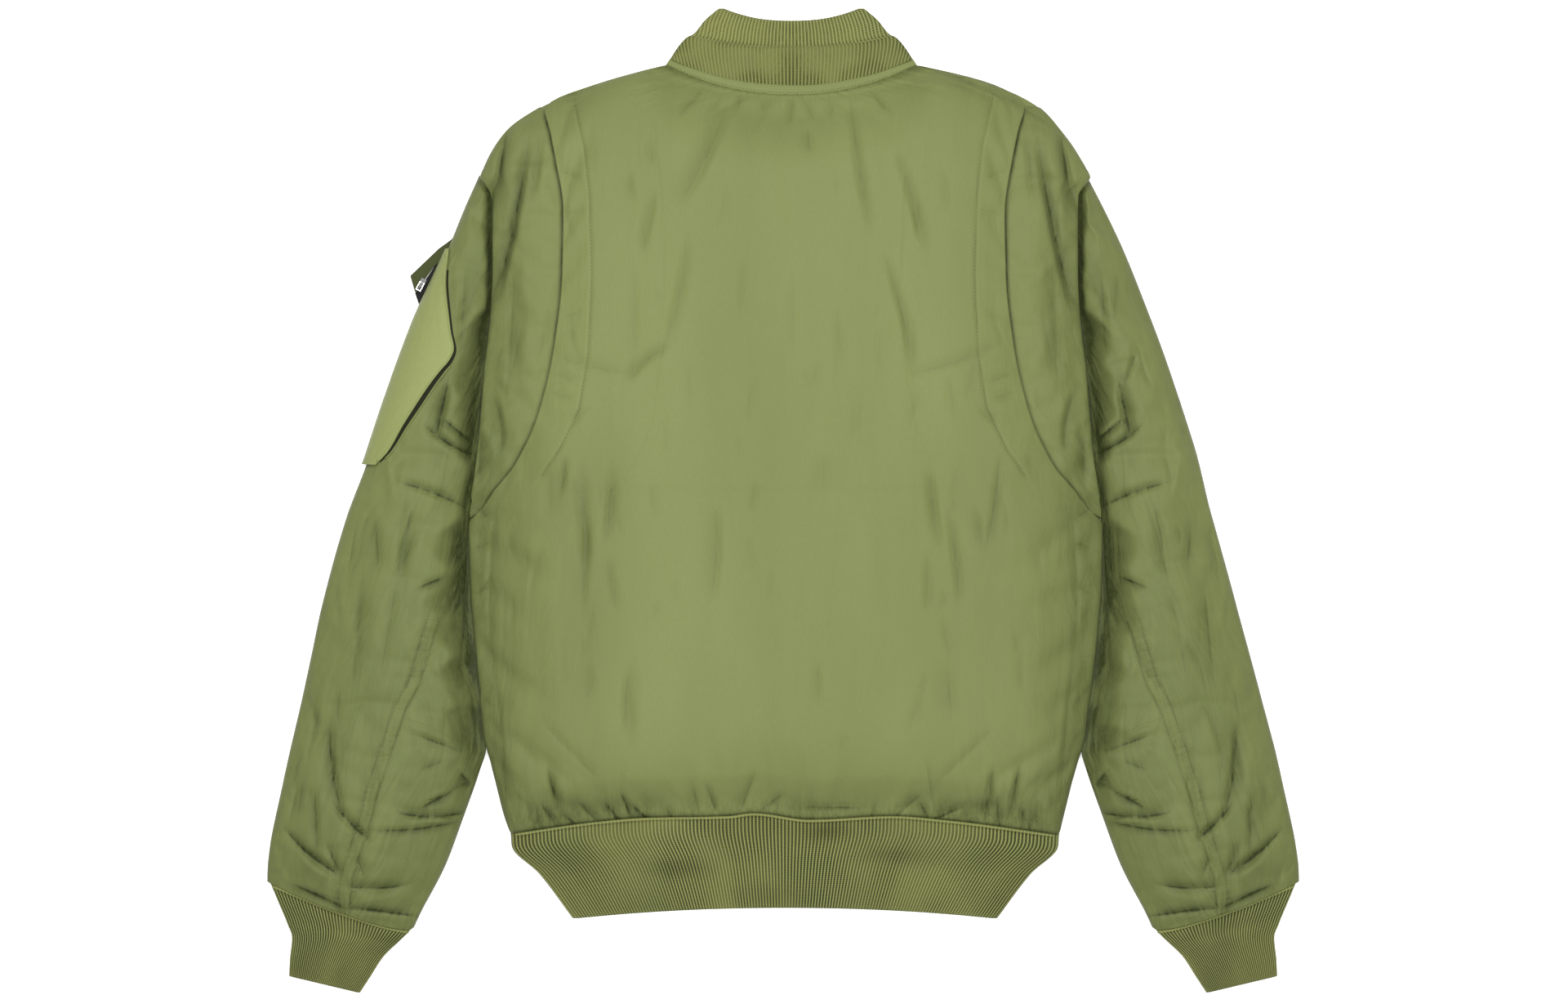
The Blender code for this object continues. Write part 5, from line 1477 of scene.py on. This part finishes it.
@dataclass
class Pocket:
    """The zipped pocket on the left sleeve: its cloth, gusset, binding, flap and zip tape."""

    sleeve: SleeveForm
    form: PocketForm
    cloth: float = 1.6
    near_fold: float = 0.985
    # Section of the sleeve, and how much of the gusset shows there.
    gusset_seen: Table = ((2.3, 0.9), (3.5, 1.4), (4.1, 2.6), (4.9, 3.0), (5.6, 1.9), (6.2, 0.5))
    tucked: float = 12.5
    gusset_end: float = 0.9
    gusset_thick: float = 0.7
    flap_thick: float = 1.8
    tape_thick: float = 1.2
    # The flap's two long edges and the outer edge of the zip tape, corner by corner.
    flap_upper: Table = (
        (-273.5, 219, 9.5), (-277.5, 215.6, 10), (-286, 209.5, 10), (-309.6, 186.7, 11.4),
    )
    flap_lower: Table = ((-275.5, 210.5, 9.5), (-290.5, 194, 9.5), (-305.6, 173.2, 11))
    tape_outer: Table = (
        (-279.5, 212.5, 7.2), (-291, 193, 7.2), (-299, 181, 7.4), (-306, 172.8, 8), (-301.8, 160.5, 7),
    )
    tape_sections: Point = (1.8, 3.12)

    def face(self, section: Array, share: Array, layer: Layer, away: Array | float) -> Array:
        """Points at a distance from the left sleeve's face, outwards."""
        sleeve = self.sleeve
        x, y = sleeve.place(section, share, -1)
        z = sleeve.height(section, share, layer)
        near = np.clip(share, 0.01, 0.99)
        slope = sleeve.height(section, near + 0.01, layer) - sleeve.height(section, near - 0.01, layer)
        slope = slope / (0.02 * sleeve.width(section))
        size = np.hypot(slope, 1.0)
        if layer is Layer.TOP:
            return grid(x + away * slope / size, y, z + away / size)
        z = np.minimum(z + self.form.lift(section, share), sleeve.level(section) - sleeve.edge_layer)
        return grid(x - away * positive(slope / size), y, positive(z - away))

    def stand(self, section: Array) -> Array:
        """How far the pocket stands off the sleeve."""
        return smooth(self.form.rows, section, 2)

    def edge(self, section: Array) -> Array:
        """Share of the sleeve's width at the pocket's inner edge."""
        return smooth(self.form.rows, section, 1)

    def opened(self, section: Array) -> Array:
        """How much of the gusset shows beside the pocket's inner edge."""
        return smooth(self.gusset_seen, section, 1)

    def panel(self) -> Thing:
        """The pocket's cloth, from its inner edge round the sleeve's fold to its hidden edge."""
        numbers = np.linspace(self.form.rows[0][0], self.form.rows[-1][0], 64)
        x, y = self.sleeve.place(numbers, np.ones(numbers.size), -1)
        sides = []
        for thick in (self.cloth, 0.0):
            q, number = np.meshgrid(np.linspace(0, 1, 24), numbers)
            start = self.edge(number)
            wave = 0.35 * mottle(q * 4, number * 3, 61) + 0.18 * mottle(q * 14, number * 5, 63)
            away = self.stand(number) + thick + wave * (thick > 0) * np.sin(np.pi * q) ** 0.5
            top = self.face(number, start + (self.near_fold - start) * q, Layer.TOP, away)
            out = self.sleeve.edge_bulge + self.stand(numbers) + thick
            fold = grid(x - out, y, self.sleeve.level(numbers))[:, None, :]
            q, number = np.meshgrid(np.linspace(1, 0, 12), numbers)
            share = self.form.wrap + (self.near_fold - self.form.wrap) * q
            under = self.face(number, share, Layer.UNDER, self.form.raised - self.cloth + thick)
            sides.append(np.concatenate([top, fold, under], axis=1))
        return shell("pocket_cloth", *sides)

    def gusset(self) -> Thing:
        """The strip between the sleeve and the pocket's inner edge, which shows as a near-black line: its own
        dark cloth, darkened further as painted shadow of the gap there.
        """
        numbers = np.linspace(self.gusset_seen[0][0], self.gusset_seen[-1][0], 70)
        q, number = np.meshgrid(np.linspace(0, 1, 7), numbers)
        width, seen, start = self.sleeve.width(number), self.opened(number), self.edge(number)
        tucked = np.minimum(self.tucked, (self.gusset_end - start) * width + seen)
        share = start + (tucked * q - seen) / width
        away = 1.0 + (self.stand(number) - 1.5) * q
        outer, inner = (self.face(number, share, Layer.TOP, away - deep) for deep in (0.0, self.gusset_thick))
        return shell("pocket_gusset_cloth", outer, inner)

    def binding(self) -> Thing:
        """The narrow rolled edge on the sleeve beside the gusset."""
        numbers = np.linspace(4.1, 6.15, 70)
        share = self.edge(numbers) - (self.opened(numbers) + 0.9) / self.sleeve.width(numbers)
        return tube("pocket_binding", self.face(numbers, share, Layer.TOP, 0.9), 0.75)

    def edge_roll(self) -> Thing:
        """The turned edge of the pocket's own cloth beside the gusset."""
        numbers = np.linspace(2.05, 6.2, 110)
        share = self.edge(numbers) + 0.8 / self.sleeve.width(numbers)
        path = self.face(numbers, share, Layer.TOP, self.stand(numbers) + self.cloth)
        return tube("pocket_edge_roll", path, 0.8)

    def flap(self) -> Thing:
        """The flap that stands out beyond the sleeve's outer edge."""
        upper, lower = spread(self.flap_upper, 40), spread(self.flap_lower, 40)
        for edge in (upper, lower):
            edge[:, 2] += 0.5 * mottle(np.linspace(0, 4, 40), np.zeros(40), 65)
        return strip_between("pocket_flap_cloth", upper, lower, 12, self.flap_thick)

    def tape(self) -> Thing:
        """The dark zip tape between the flap and the pocket's outer side."""
        numbers = np.linspace(*self.tape_sections, 40)
        x, y = self.sleeve.place(numbers, np.ones(40), -1)
        away = np.where(numbers < self.form.rows[0][0], 0.0, self.stand(numbers) + self.cloth)
        inner = grid(x - self.sleeve.edge_bulge - away - SEAM, y, 8.0)
        return strip_between("pocket_zip_tape", spread(self.tape_outer, 40), inner, 8, self.tape_thick)


# ---- stitches, front zip and neck strip


@dataclass
class Stitches:
    """Rows of short threads, each laid on the cloth that it goes through."""

    pitch: float = 3.0
    long: float = 2.1
    half_wide: float = 0.3
    high: float = 0.28
    sunk: float = 0.1
    lines: list[Array] = field(default_factory=list)

    def add(self, line: Sequence[Row] | Array, aside: float = 0.0, both: bool = True) -> None:
        """Adds a row along a line, moved aside, and its mirror image if both is set."""
        line = np.array(line, float)[:, :2]
        ahead = directions(line)
        line = line + grid(-ahead[:, 1], ahead[:, 0]) * aside
        self.lines += [line, line * [-1.0, 1.0]] if both else [line]

    def build(self, cloth: Sequence[Thing]) -> Thing:
        """Makes all rows as one piece, on top of the given pieces of cloth."""
        points, faces = [], []
        for line in self.lines:
            run = run_along(line)
            for start in np.arange(0.0, run[-1] - self.long, self.pitch):
                ends = [self.on_cloth(line, run, start + part * self.long, cloth) for part in (0.0, 0.5, 1.0)]
                if all(end is not None for end in ends):
                    self.one(*ends, points, faces)
        return made_mesh("seam_stitches", np.array(points), faces)

    def on_cloth(self, line: Array, run: Array, at: float, cloth: Sequence[Thing]) -> Array | None:
        """The highest place of the cloth under a point of the line."""
        x, y = (float(np.interp(at, run, line[:, k])) for k in (0, 1))
        hits = [thing.ray_cast((x * MM, y * MM, 0.2), (0.0, 0.0, -1.0)) for thing in cloth]
        heights = [hit[1][2] / MM for hit in hits if hit[0]]
        return np.array([x, y, max(heights)]) if heights else None

    def one(self, first: Array, middle: Array, last: Array, points: list, faces: list) -> None:
        """Adds one thread: pointed at its ends and round in the middle."""
        up = np.array([0.0, 0.0, 1.0])
        along = (last - first) / max(np.linalg.norm(last - first), 1e-6)
        side, top, down = np.cross(up, along) * self.half_wide, up * self.high, up * -self.sunk
        start = len(points)
        points += [first + down, last + down, middle + side, middle + top, middle - side, middle - top]
        for k in range(4):
            a, b = start + 2 + k, start + 2 + (k + 1) % 4
            faces += [(start, b, a), (start + 1, a, b)]


@dataclass
class FrontZip:
    """The teeth of the closed zip, under the jacket."""

    first: float = -255.0
    last: float = 308.0
    pitch: float = 3.0
    middle: float = 1.5
    aside: float = 0.7
    low: float = 5.4
    size: Row = (2.4, 1.3, 1.1)

    def row(self, side: int) -> Thing:
        """One row of teeth: a block that is shaped, moved to its place and repeated."""
        place = (self.middle + side * self.aside, self.first + (side + 1) / 4 * self.pitch, self.low)
        deselect()
        bpy.ops.mesh.primitive_cube_add(size=1.0, location=(0, 0, 0))
        row = bpy.context.object
        bpy.ops.object.mode_set(mode="EDIT")
        bpy.ops.mesh.select_all(action="SELECT")
        bpy.ops.transform.resize(value=[c * MM for c in self.size])
        bpy.ops.transform.translate(value=[c * MM for c in place])
        bpy.ops.object.mode_set(mode="OBJECT")
        repeat = row.modifiers.new("teeth", "ARRAY")
        repeat.use_relative_offset, repeat.use_constant_offset = False, True
        repeat.constant_offset_displace = (0.0, self.pitch * MM, 0.0)
        repeat.count = int((self.last - self.first) / self.pitch)
        apply_modifiers(row)
        return row

    def build(self) -> Thing:
        """Makes both rows of teeth as one piece."""
        rows = [self.row(side) for side in (-1, 1)]
        for row in rows:
            row.select_set(True)
        bpy.context.view_layer.objects.active = rows[0]
        bpy.ops.object.join()
        rows[0].name = "front_zip_teeth"
        return rows[0]


@dataclass
class NeckStrip:
    """The narrow piped strip between the back and the collar."""

    form: BodyForm
    seam_half: float = 100.8
    low_y: float = 343.9
    high_y: float = 366.0
    bend: float = 2.2
    low: float = 19.4
    round: float = 0.9
    lap: float = 0.8

    def build(self) -> Thing:
        """Makes the strip as a shell with a rounded top."""
        up, u = np.meshgrid(np.linspace(0, 1, 9), np.linspace(-1, 1, 121), indexing="ij")
        x0, y0 = self.form.neck_line(u)
        x1 = self.form.neck_shift + u * self.seam_half
        y1 = self.low_y + (self.high_y - self.low_y) * np.abs(u) ** self.bend
        lap = self.lap * (1.0 - np.abs(u) ** 8)
        x, y = x0 + (x1 - x0) * up, (y0 - lap) + (y1 - y0 + 2 * lap) * up
        z = self.low + self.round * np.sin(np.pi * unit(up)) ** 0.6 - 3.0 * np.abs(u) ** 12
        z = z + 0.15 * mottle(u * 40, up * 2, 31)
        return shell("neck_strip_cloth", grid(x, y, z), grid(x, y, self.form.back_under))


# ---- rib knit


@dataclass
class Laid:
    """How a band of rib knit lies: values at each point of its grid."""

    # X and Y of the two faces, the half width, and the band's lowest and highest places.
    outer: Sequence[Array]
    inner: Sequence[Array]
    half: Array
    heights: Sequence[Array]
    # How much higher the upper face is, how shallow the ribs look, how much painted shade and random darker
    # tone lie on them, and how deep they are.
    raised: Array
    plain: Array
    shade: Array
    deep: Array | float = 1.0


@dataclass
class RibBand:
    """A flattened band of rib knit, whose ribs are modelled one by one."""

    name: str
    node: str
    ribs: int
    steps: int = 5
    rows: int = 26
    rib_depth: float = 1.5
    fan: float = 0.0
    long: float = 70.0
    opening: float = 0.0
    side_round: float = 5.0
    edge_round: float = 2.4
    edge_lap: float = 0.3
    # How much lower the two faces are at the band's ends, and how deep the gaps are underneath.
    edges_down: Point = (0.45, 0.3)
    under_groove: float = 0.0
    wall: float = 4.5
    cut: Point = (0.1, 0.1)

    def around(self) -> tuple[Array, Array]:
        """Shares of the half width round the band, and the layer of each."""
        top = np.linspace(-1, 1, self.ribs * self.steps + 1)
        under = np.linspace(1, self.opening, self.ribs + 1)[1:]
        share = np.concatenate([-under[::-1], top, under])
        layer = np.concatenate([-np.ones(under.size), np.ones(top.size), -np.ones(under.size)])
        return share, layer

    def stations(self) -> Array:
        """Shares of the band's length for its rows."""
        return np.linspace(0, 1, self.rows)

    def rib(self, u: Array, along: Array) -> Array:
        """Number of the rib at a share of the half width; outer ribs run off a band that narrows."""
        return (u * (1.0 - self.fan * along) + 1.0) / 2 * self.ribs

    def left(self, along: Array) -> Array:
        """Length from a share of the band to its end."""
        return (1.0 - along) * self.long

    def laid(self, u: Array, along: Array, top: Array) -> Laid:
        """How the band lies at shares of its half width and length, on top or underneath."""
        raise NotImplementedError

    def build(self) -> Thing:
        """Makes the band, with one unit of U for each rib and V in metres."""
        share, layer = self.around()
        u, along = np.meshgrid(share, self.stations())
        top = np.broadcast_to(layer, u.shape) > 0
        laid = self.laid(u, along, top)
        low, high = laid.heights
        middle, run = (low + high) / 2, self.left(along)
        rim = unit((np.abs(u) * laid.half - laid.half + self.side_round) / self.side_round)
        full = np.sqrt(unit(1.0 - rim**2))
        ends = quarter(np.minimum(run, along * self.long + self.edge_lap), self.edge_round)
        over, under = (1.0 - part + part * ends for part in self.edges_down)
        groove = self.rib_depth * (1.0 - np.abs(np.sin(np.pi * self.rib(u, along))) ** 0.55)
        groove = groove * laid.deep * np.clip(run / 2.0, 0.35, 1.0)
        thick = full * ((high - middle) * over + laid.raised) - groove
        below = full * (middle - low) * under - groove * self.under_groove * (low > 0.6)
        z_top = middle + np.maximum(thick, 0.05 * full)
        z_low = positive(middle - np.maximum(below, 0.05 * full))
        outer = grid(*laid.outer, np.where(top, z_top, z_low))
        inner = grid(*laid.inner, middle + np.where(top, 0.4, -0.4))
        thing = shell(self.name, outer, inner, grid(self.rib(u, along), along * self.long * MM))
        for note, values in (("plain", laid.plain), ("shade", laid.shade)):
            note_points(thing, note, np.tile(unit(values).ravel(), 2))
        thing.data.shade_smooth()
        return thing


@dataclass
class HemRib(RibBand):
    """The band round the hem."""

    form: BodyForm = BodyForm()
    widths: Table = ((0.0, 227.4), (0.15, 226.9), (0.48, 204.1), (1.0, 176.5))
    last: float = -338.3
    arch: float = 8.8
    drop: float = 9.0
    low: float = 9.0
    high: float = 19.5
    long: float = 76.0
    opening: float = 0.025
    side_round: float = 6.0
    edge_round: float = 2.6
    edge_lap: float = 0.4
    edges_down: Point = (0.45, 0.25)
    under_groove: float = 0.6
    step_at: float = 0.46
    step: float = 0.7
    shift: float = 1.5
    cut: Point = (0.905, 0.078)
    # Painted shade of folds in the band: shares across and down, how wide and long, and how dark.
    shade_patches: Table = (
        (-0.44, 0.55, 0.13, 0.10, 0.34), (0.15, 0.15, 0.07, 0.10, 0.34), (0.44, 0.42, 0.16, 0.09, 0.26),
        (-0.80, 0.30, 0.08, 0.2, 0.15), (0.78, 0.35, 0.1, 0.2, 0.18), (-0.08, 0.85, 0.2, 0.1, 0.12),
    )

    def roll(self) -> Thing:
        """The rolled edge where the band is sewn to the back."""
        u = np.linspace(-0.985, 0.985, 240)
        x = self.shift + u * self.widths[0][1]
        z = 20.0 - 5.0 * unit((np.abs(u) - 0.95) / 0.05) ** 2 + 0.2 * mottle(u * 40, u * 0, 45)
        return tube("hem_seam_roll", grid(x, self.form.seam(x) - 1.1, z), 1.2, (u + 1) / 2 * self.ribs)

    def stations(self) -> Array:
        """Shares of the band's length for its rows, closer together at the end."""
        return super().stations() ** 0.9

    def laid(self, u: Array, down: Array, top: Array) -> Laid:
        """How the band lies from the hem seam down."""
        half, fall = smooth(self.widths, down, 1), self.drop * down**0.7
        seam_x = self.shift + u * self.widths[0][1]
        start = np.where(top, self.form.seam(seam_x) + 0.7, self.form.front_seam(seam_x) - 3 * SEAM)
        y = start + (self.last - self.arch * u * u - start) * down
        waves = 0.7 * mottle(u * 9, down * 2.2, 41) + 0.3 * mottle(u * 22, down * 3.0, 43)
        stepped = self.step / (1 + np.exp(-(down - self.step_at) * 160))
        raised = waves * quarter(self.left(down), 20.0) - stepped
        heights = positive(self.low - fall), self.high - fall
        outer, inner = ((self.shift + u * wide, y) for wide in (half, half - self.wall))
        plain = 0.2 + 0.9 * mottle(u * 7, down * 1.6, 71) + 0.3 * mottle(u * 20, down * 3, 73)
        shade = 0.05 + 0.12 * mottle(u * 5, down * 1.8, 79)
        for across, at, wide, high, dark in self.shade_patches:
            shade = shade + dark * bell(u - across, wide) * bell(down - at, high)
        return Laid(outer, inner, half, heights, raised, plain, shade)


@dataclass
class CollarRib(RibBand):
    """The band round the neck, with a step between its lower and upper parts."""

    form: BodyForm = BodyForm()
    # Share from the seam up, half width, Y at the middle and at the sides.
    rows_up: Table = (
        (0, 100.8, 343.9, 366), (0.3, 94.5, 361, 376), (0.55, 86.5, 375.4, 385), (0.6, 82, 377, 387),
        (0.8, 72, 387.5, 399), (1, 60.5, 398.6, 409),
    )
    bend: float = 2.2
    drop: float = 6.0
    low: float = 9.0
    high: float = 19.0
    long: float = 55.0
    lip: float = 1.6
    lip_at: float = 0.575
    opening: float = 0.04
    fan: float = 0.33
    edge_lap: float = 1.0
    front_seam: float = 334.2
    cut: Point = (0.40, 0.056)

    def roll(self) -> Thing:
        """The fine edge of the band's lower part, along its step."""
        u = np.linspace(-0.97, 0.97, 150)
        half, y, side_y = (float(smooth(self.rows_up, np.array([self.lip_at]), k)[0]) for k in (1, 2, 3))
        y = y + (side_y - y) * np.abs(u) ** self.bend - 0.4
        z = self.high - self.drop * self.lip_at + self.lip * 0.9 - 3.2 * unit((np.abs(u) - 0.9) / 0.1) ** 2
        path = grid(self.form.neck_shift + u * half, y, z)
        return tube("collar_step_edge", path, 0.55, self.rib(u, self.lip_at))

    def stations(self) -> Array:
        """Shares of the band's length for its rows, with some more beside its step."""
        at_step = self.lip_at + np.array([-0.05, -0.02, -0.006, 0.006, 0.02])
        return np.unique(np.concatenate([super().stations(), at_step]))

    def laid(self, u: Array, up: Array, top: Array) -> Laid:
        """How the band lies from the neck seam up."""
        half, y, side_y = (smooth(self.rows_up, up, k) for k in (1, 2, 3))
        y = y + (side_y - y) * np.abs(u) ** self.bend
        first, side_y = self.rows_up[0][2], self.rows_up[0][3]
        front = (self.front_seam - first) * (1.0 - u * u)
        y = np.where(top, y, y + front * (1.0 - up) - up)
        fall, low_part = self.drop * up, up < self.lip_at
        lip = self.lip / (1 + np.exp((up - self.lip_at) * 260))
        raised = lip * (1.0 + 0.7 * bell(up - self.lip_at + 0.02, 0.02))
        raised = raised + 0.5 * mottle(u * 6, up * 2.0, 47) * quarter(self.left(up), 12.0)
        heights = self.low - fall, self.high - fall
        outer, inner = ((self.form.neck_shift + u * wide, y) for wide in (half, half - self.wall))
        plain = unit(0.45 + 0.9 * mottle(u * 6, up * 3, 75) - 0.5 * unit(1 - up / 0.2))
        plain, deep = np.where(low_part, plain, 0.3), np.where(low_part, 0.7, 1.0)
        return Laid(outer, inner, half, heights, raised, plain, 0.2 * low_part, deep)


@dataclass
class CuffRib(RibBand):
    """A cuff: a flattened tube with its joining seam underneath."""

    side: int = 1
    # Share down, outer half, outer Y, inner half, inner Y, droop, lowest, highest.
    rows_down: Table = (
        (0, 427.2, -314.6, 306.8, -352.8, 15, 3, 14), (0.16, 420.5, -331, 312.5, -359.6, 9, 2.4, 13.3),
        (0.36, 412.4, -351, 320.5, -367.4, 3, 1, 12), (0.53, 408.5, -363, 332, -378.5, 0, 0, 10.5),
        (0.77, 410.3, -381, 343.5, -396, 0, 0, 10), (1, 411, -395, 352, -409, 0, 0, 9.6),
    )
    long: float = 68.0
    edges_down: Point = (0.4, 0.2)
    cut: Point = (0.215, 0.072)

    def around(self) -> tuple[Array, Array]:
        """Shares of the half width round the cuff, almost closed at its joining seam."""
        share, layer = super().around()
        share[1] = -0.005
        return share[1:], layer[1:]

    def place(self, row: Sequence[Array], s: Array) -> tuple[Array, Array]:
        """X and Y at a share of the cuff's width, 0 at its inner edge."""
        outer_x, outer_y, inner_x, inner_y, droop = row
        x = inner_x + (outer_x - inner_x) * s
        return self.side * x, inner_y + (outer_y - inner_y) * s - droop * sag(s)

    def roll(self) -> Thing:
        """The rolled edge where the cuff is sewn to the sleeve."""
        s = np.linspace(0.035, 0.965, 90)
        x, y = self.place(self.rows_down[0][1:6], s)
        z = self.rows_down[0][7] + 1.2 - 4.0 * unit(np.abs(2 * s - 1) - 0.9) / 0.1
        path = grid(x, y - 3.3, z + 0.2 * mottle(s * 20, s * 0, 55))
        return tube(self.name.replace("rib_knit", "seam_roll"), path, 1.15, s * self.ribs)

    def laid(self, u: Array, down: Array, top: Array) -> Laid:
        """How the cuff lies from the sleeve down."""
        *row, low, high = (smooth(self.rows_down, down, k) for k in range(1, 8))
        s = (u + 1) / 2
        width = np.hypot(row[0] - row[2], row[1] - row[3])
        # A swelling below the seam, and a hollow under it.
        hump = 0.9 * bell(down - 0.12, 0.09) - 1.1 * bell(down - 0.26 - 0.1 * (1 - s), 0.06)
        raised = (0.6 * mottle(u * 3, down * 3.0, 53 + self.side) + hump) * quarter(self.left(down), 12.0)
        inset = np.where(np.abs(u) > 0.01, 1.0 - 2 * self.wall / width, 1.0)
        outer, inner = self.place(row, s), self.place(row, (u * inset + 1) / 2)
        plain = 1.4 * (down - 0.3) + 0.5 * mottle(u * 3, down * 3, 77 + self.side)
        shade = 0.08 + 0.1 * mottle(u * 3, down * 2.5, 81 + self.side)
        return Laid(outer, inner, width / 2, (low, high), raised, plain, shade)


# ---- studio


@dataclass
class Studio:
    """Pale floor, soft lights and the camera."""

    floor: Colour = (0.9, 0.9, 0.9)
    glow: float = 0.35
    lens: float = 90.0
    sensor: float = 36.0
    view_width: float = 1.2991
    view_at: Row = (0.0007, -0.0010, 0.018)
    sky: float = 0.26

    def build(self) -> None:
        """Makes the floor, the lights and the camera."""
        scene, white = bpy.context.scene, (1.0, 1.0, 1.0, 1.0)
        deselect()
        bpy.ops.mesh.primitive_plane_add(size=12.0, location=(0, 0, -0.0005))
        floor = bpy.context.object
        floor.name = "floor"
        made = bpy.data.materials.new("pale floor")
        made.use_nodes = True
        finish = {
            "Base Color": (*self.floor, 1.0), "Roughness": 0.9, "Specular IOR Level": 0.1,
            "Emission Color": white, "Emission Strength": self.glow,
        }
        for label, value in finish.items():
            made.node_tree.nodes["Principled BSDF"].inputs[label].default_value = value
        wear(floor, made)
        self.lamp("key", (-0.2, 1.2, 2.6), 0.9, 40.0)
        self.lamp("overhead", (0.05, 0.1, 3.1), 0.9, 86.0)
        self.lamp("fill", (0.3, -1.5, 2.4), 1.8, 18.0)
        world = bpy.data.worlds.new("studio")
        world.use_nodes = True
        for label, value in (("Color", white), ("Strength", self.sky)):
            world.node_tree.nodes["Background"].inputs[label].default_value = value
        scene.world = world
        scene.view_settings.view_transform = "Standard"
        self.camera()

    def lamp(self, name: str, at: Row, size: float, watts: float) -> None:
        """Adds a soft square lamp that points at the jacket."""
        light = bpy.data.lights.new(name, "AREA")
        light.size, light.energy = size, watts
        lamp = bpy.data.objects.new(name, light)
        lamp.location = at
        lamp.rotation_euler = Vector(at).to_track_quat("Z", "Y").to_euler()
        bpy.context.scene.collection.objects.link(lamp)

    def camera(self) -> None:
        """Adds the camera, straight above the jacket."""
        data = bpy.data.cameras.new("camera")
        data.lens, data.sensor_width, data.clip_end = self.lens, self.sensor, 50.0
        camera = bpy.data.objects.new("camera", data)
        x, y, z = self.view_at
        camera.location = (x, y, z + self.view_width * self.lens / self.sensor)
        bpy.context.scene.collection.objects.link(camera)
        bpy.context.scene.camera = camera


@dataclass
class Jacket:
    """Everything that the jacket is dressed with, over its solids."""

    form: BodyForm
    sleeve_form: SleeveForm
    pocket_form: PocketForm
    cloth: list[Thing] = field(default_factory=list)

    def padded_panels(self) -> None:
        """Body and sleeve panels, puffed together and then creased."""
        olive = OLIVE.material()
        panels = Body(self.form).build() + Sleeves(self.sleeve_form, self.pocket_form).build()
        Puff().run([panel for panel in panels if panel.held.min() < 1.0])
        for panel in panels:
            panel.refine()
            finish_piece(panel.thing, olive, "olive_nylon", panel.nodes)
            self.cloth.append(panel.thing)

    def neck_strip(self) -> None:
        """The strip under the collar."""
        strip = NeckStrip(self.form).build()
        finish_piece(strip, OLIVE.material(), "olive_nylon", ("neck_strip",))
        self.cloth.append(strip)

    def bands(self) -> None:
        """Hem, collar and cuffs, with their rolled edges."""
        knit = RIB_KNIT.material()
        bands = [HemRib("hem_rib_knit", "hem_rib", 150), CollarRib("collar_rib_knit", "collar_rib", 69)]
        for label, side in SIDES:
            bands.append(CuffRib(f"cuff_rib_knit_{label}", f"cuff_rib_{label}", 42, side=side))
        for band in bands:
            thing, roll = band.build(), band.roll()
            finish_piece(thing, knit, "rib_knit", (band.node,))
            note_points(roll, "plain", np.ones(len(roll.data.vertices)))
            finish_piece(roll, knit, "rib_knit")

    def pocket(self) -> Pocket:
        """The sleeve pocket's pieces."""
        pocket = Pocket(self.sleeve_form, self.pocket_form)
        light, gusset_shadow = OLIVE_LIGHT.material(), GUSSET_PAINTED_SHADOW.material()
        pieces = []
        for build, made, slot, nodes in (
            (pocket.panel, light, "olive_nylon", ("sleeve_pocket_panel",)),
            (pocket.gusset, gusset_shadow, "inner_nylon", ("sleeve_pocket_gusset",)),
            (pocket.binding, OLIVE.material(), "olive_nylon", ()),
            (pocket.edge_roll, light, "olive_nylon", ()),
            # The flap wears the darker copy of the nylon as painted shadow.
            (pocket.flap, OLIVE_PAINTED_SHADOW.material(), "olive_nylon", ("sleeve_pocket_flap",)),
            (pocket.tape, TAPE.material(), "zip_tape", ("sleeve_pocket_zip_tape",)),
        ):
            pieces.append(build())
            finish_piece(pieces[-1], made, slot, nodes)
        panel, gusset, _, _, flap, tape = pieces
        self.cloth += [panel, flap]
        return pocket

    def stitches(self, pocket: Pocket) -> None:
        """All rows of stitches."""
        rows = Stitches()
        rows.add(grid(*self.form.neck_line(np.linspace(-0.97, 0.97, 60))), 0.9, both=False)
        rows.add(Body.beside_pleat)
        rows.add(Sleeves.felled, 0.8)
        rows.add(Sleeves.felled, -8.6)
        rows.add([(-312, -180), (-293, -186), (-274, -196)], 1.2)
        rows.add([(112, 364), (175, 337), (224, 309)], -2.4, both=False)
        rows.add([(-250, 268), (-244, 262), (-238, 255)], 1.6)
        rows.add(spread(pocket.flap_upper, 12), -2.6, both=False)
        finish_piece(rows.build(self.cloth), THREAD.material(), "olive_nylon")

    def zips(self, nodes: dict[str, Thing]) -> None:
        """Teeth of the front zip, and finishes for the sliders, pulls and the front zip's tape."""
        metal, dark, tape = NICKEL.material(), DARK_METAL.material(), TAPE.material()
        finish_piece(FrontZip().build(), metal, "zip_metal")
        for name, thing in nodes.items():
            for word, made in (("slider", dark), ("pull", metal), ("zip", tape)):
                if word in name:
                    wear(thing, made)
                    break


def main() -> None:
    """Loads the solids, builds the jacket's looks over them and sets the studio up."""
    logging.basicConfig(level=logging.INFO, format="%(message)s")
    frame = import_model()
    form = BodyForm()
    jacket = Jacket(form, SleeveForm(form), PocketForm())
    jacket.padded_panels()
    jacket.neck_strip()
    jacket.bands()
    pocket = jacket.pocket()
    jacket.stitches(pocket)
    jacket.zips(frame["nodes"])
    Studio().build()
    bpy.context.view_layer.update()


if __name__ == "__main__":
    main()
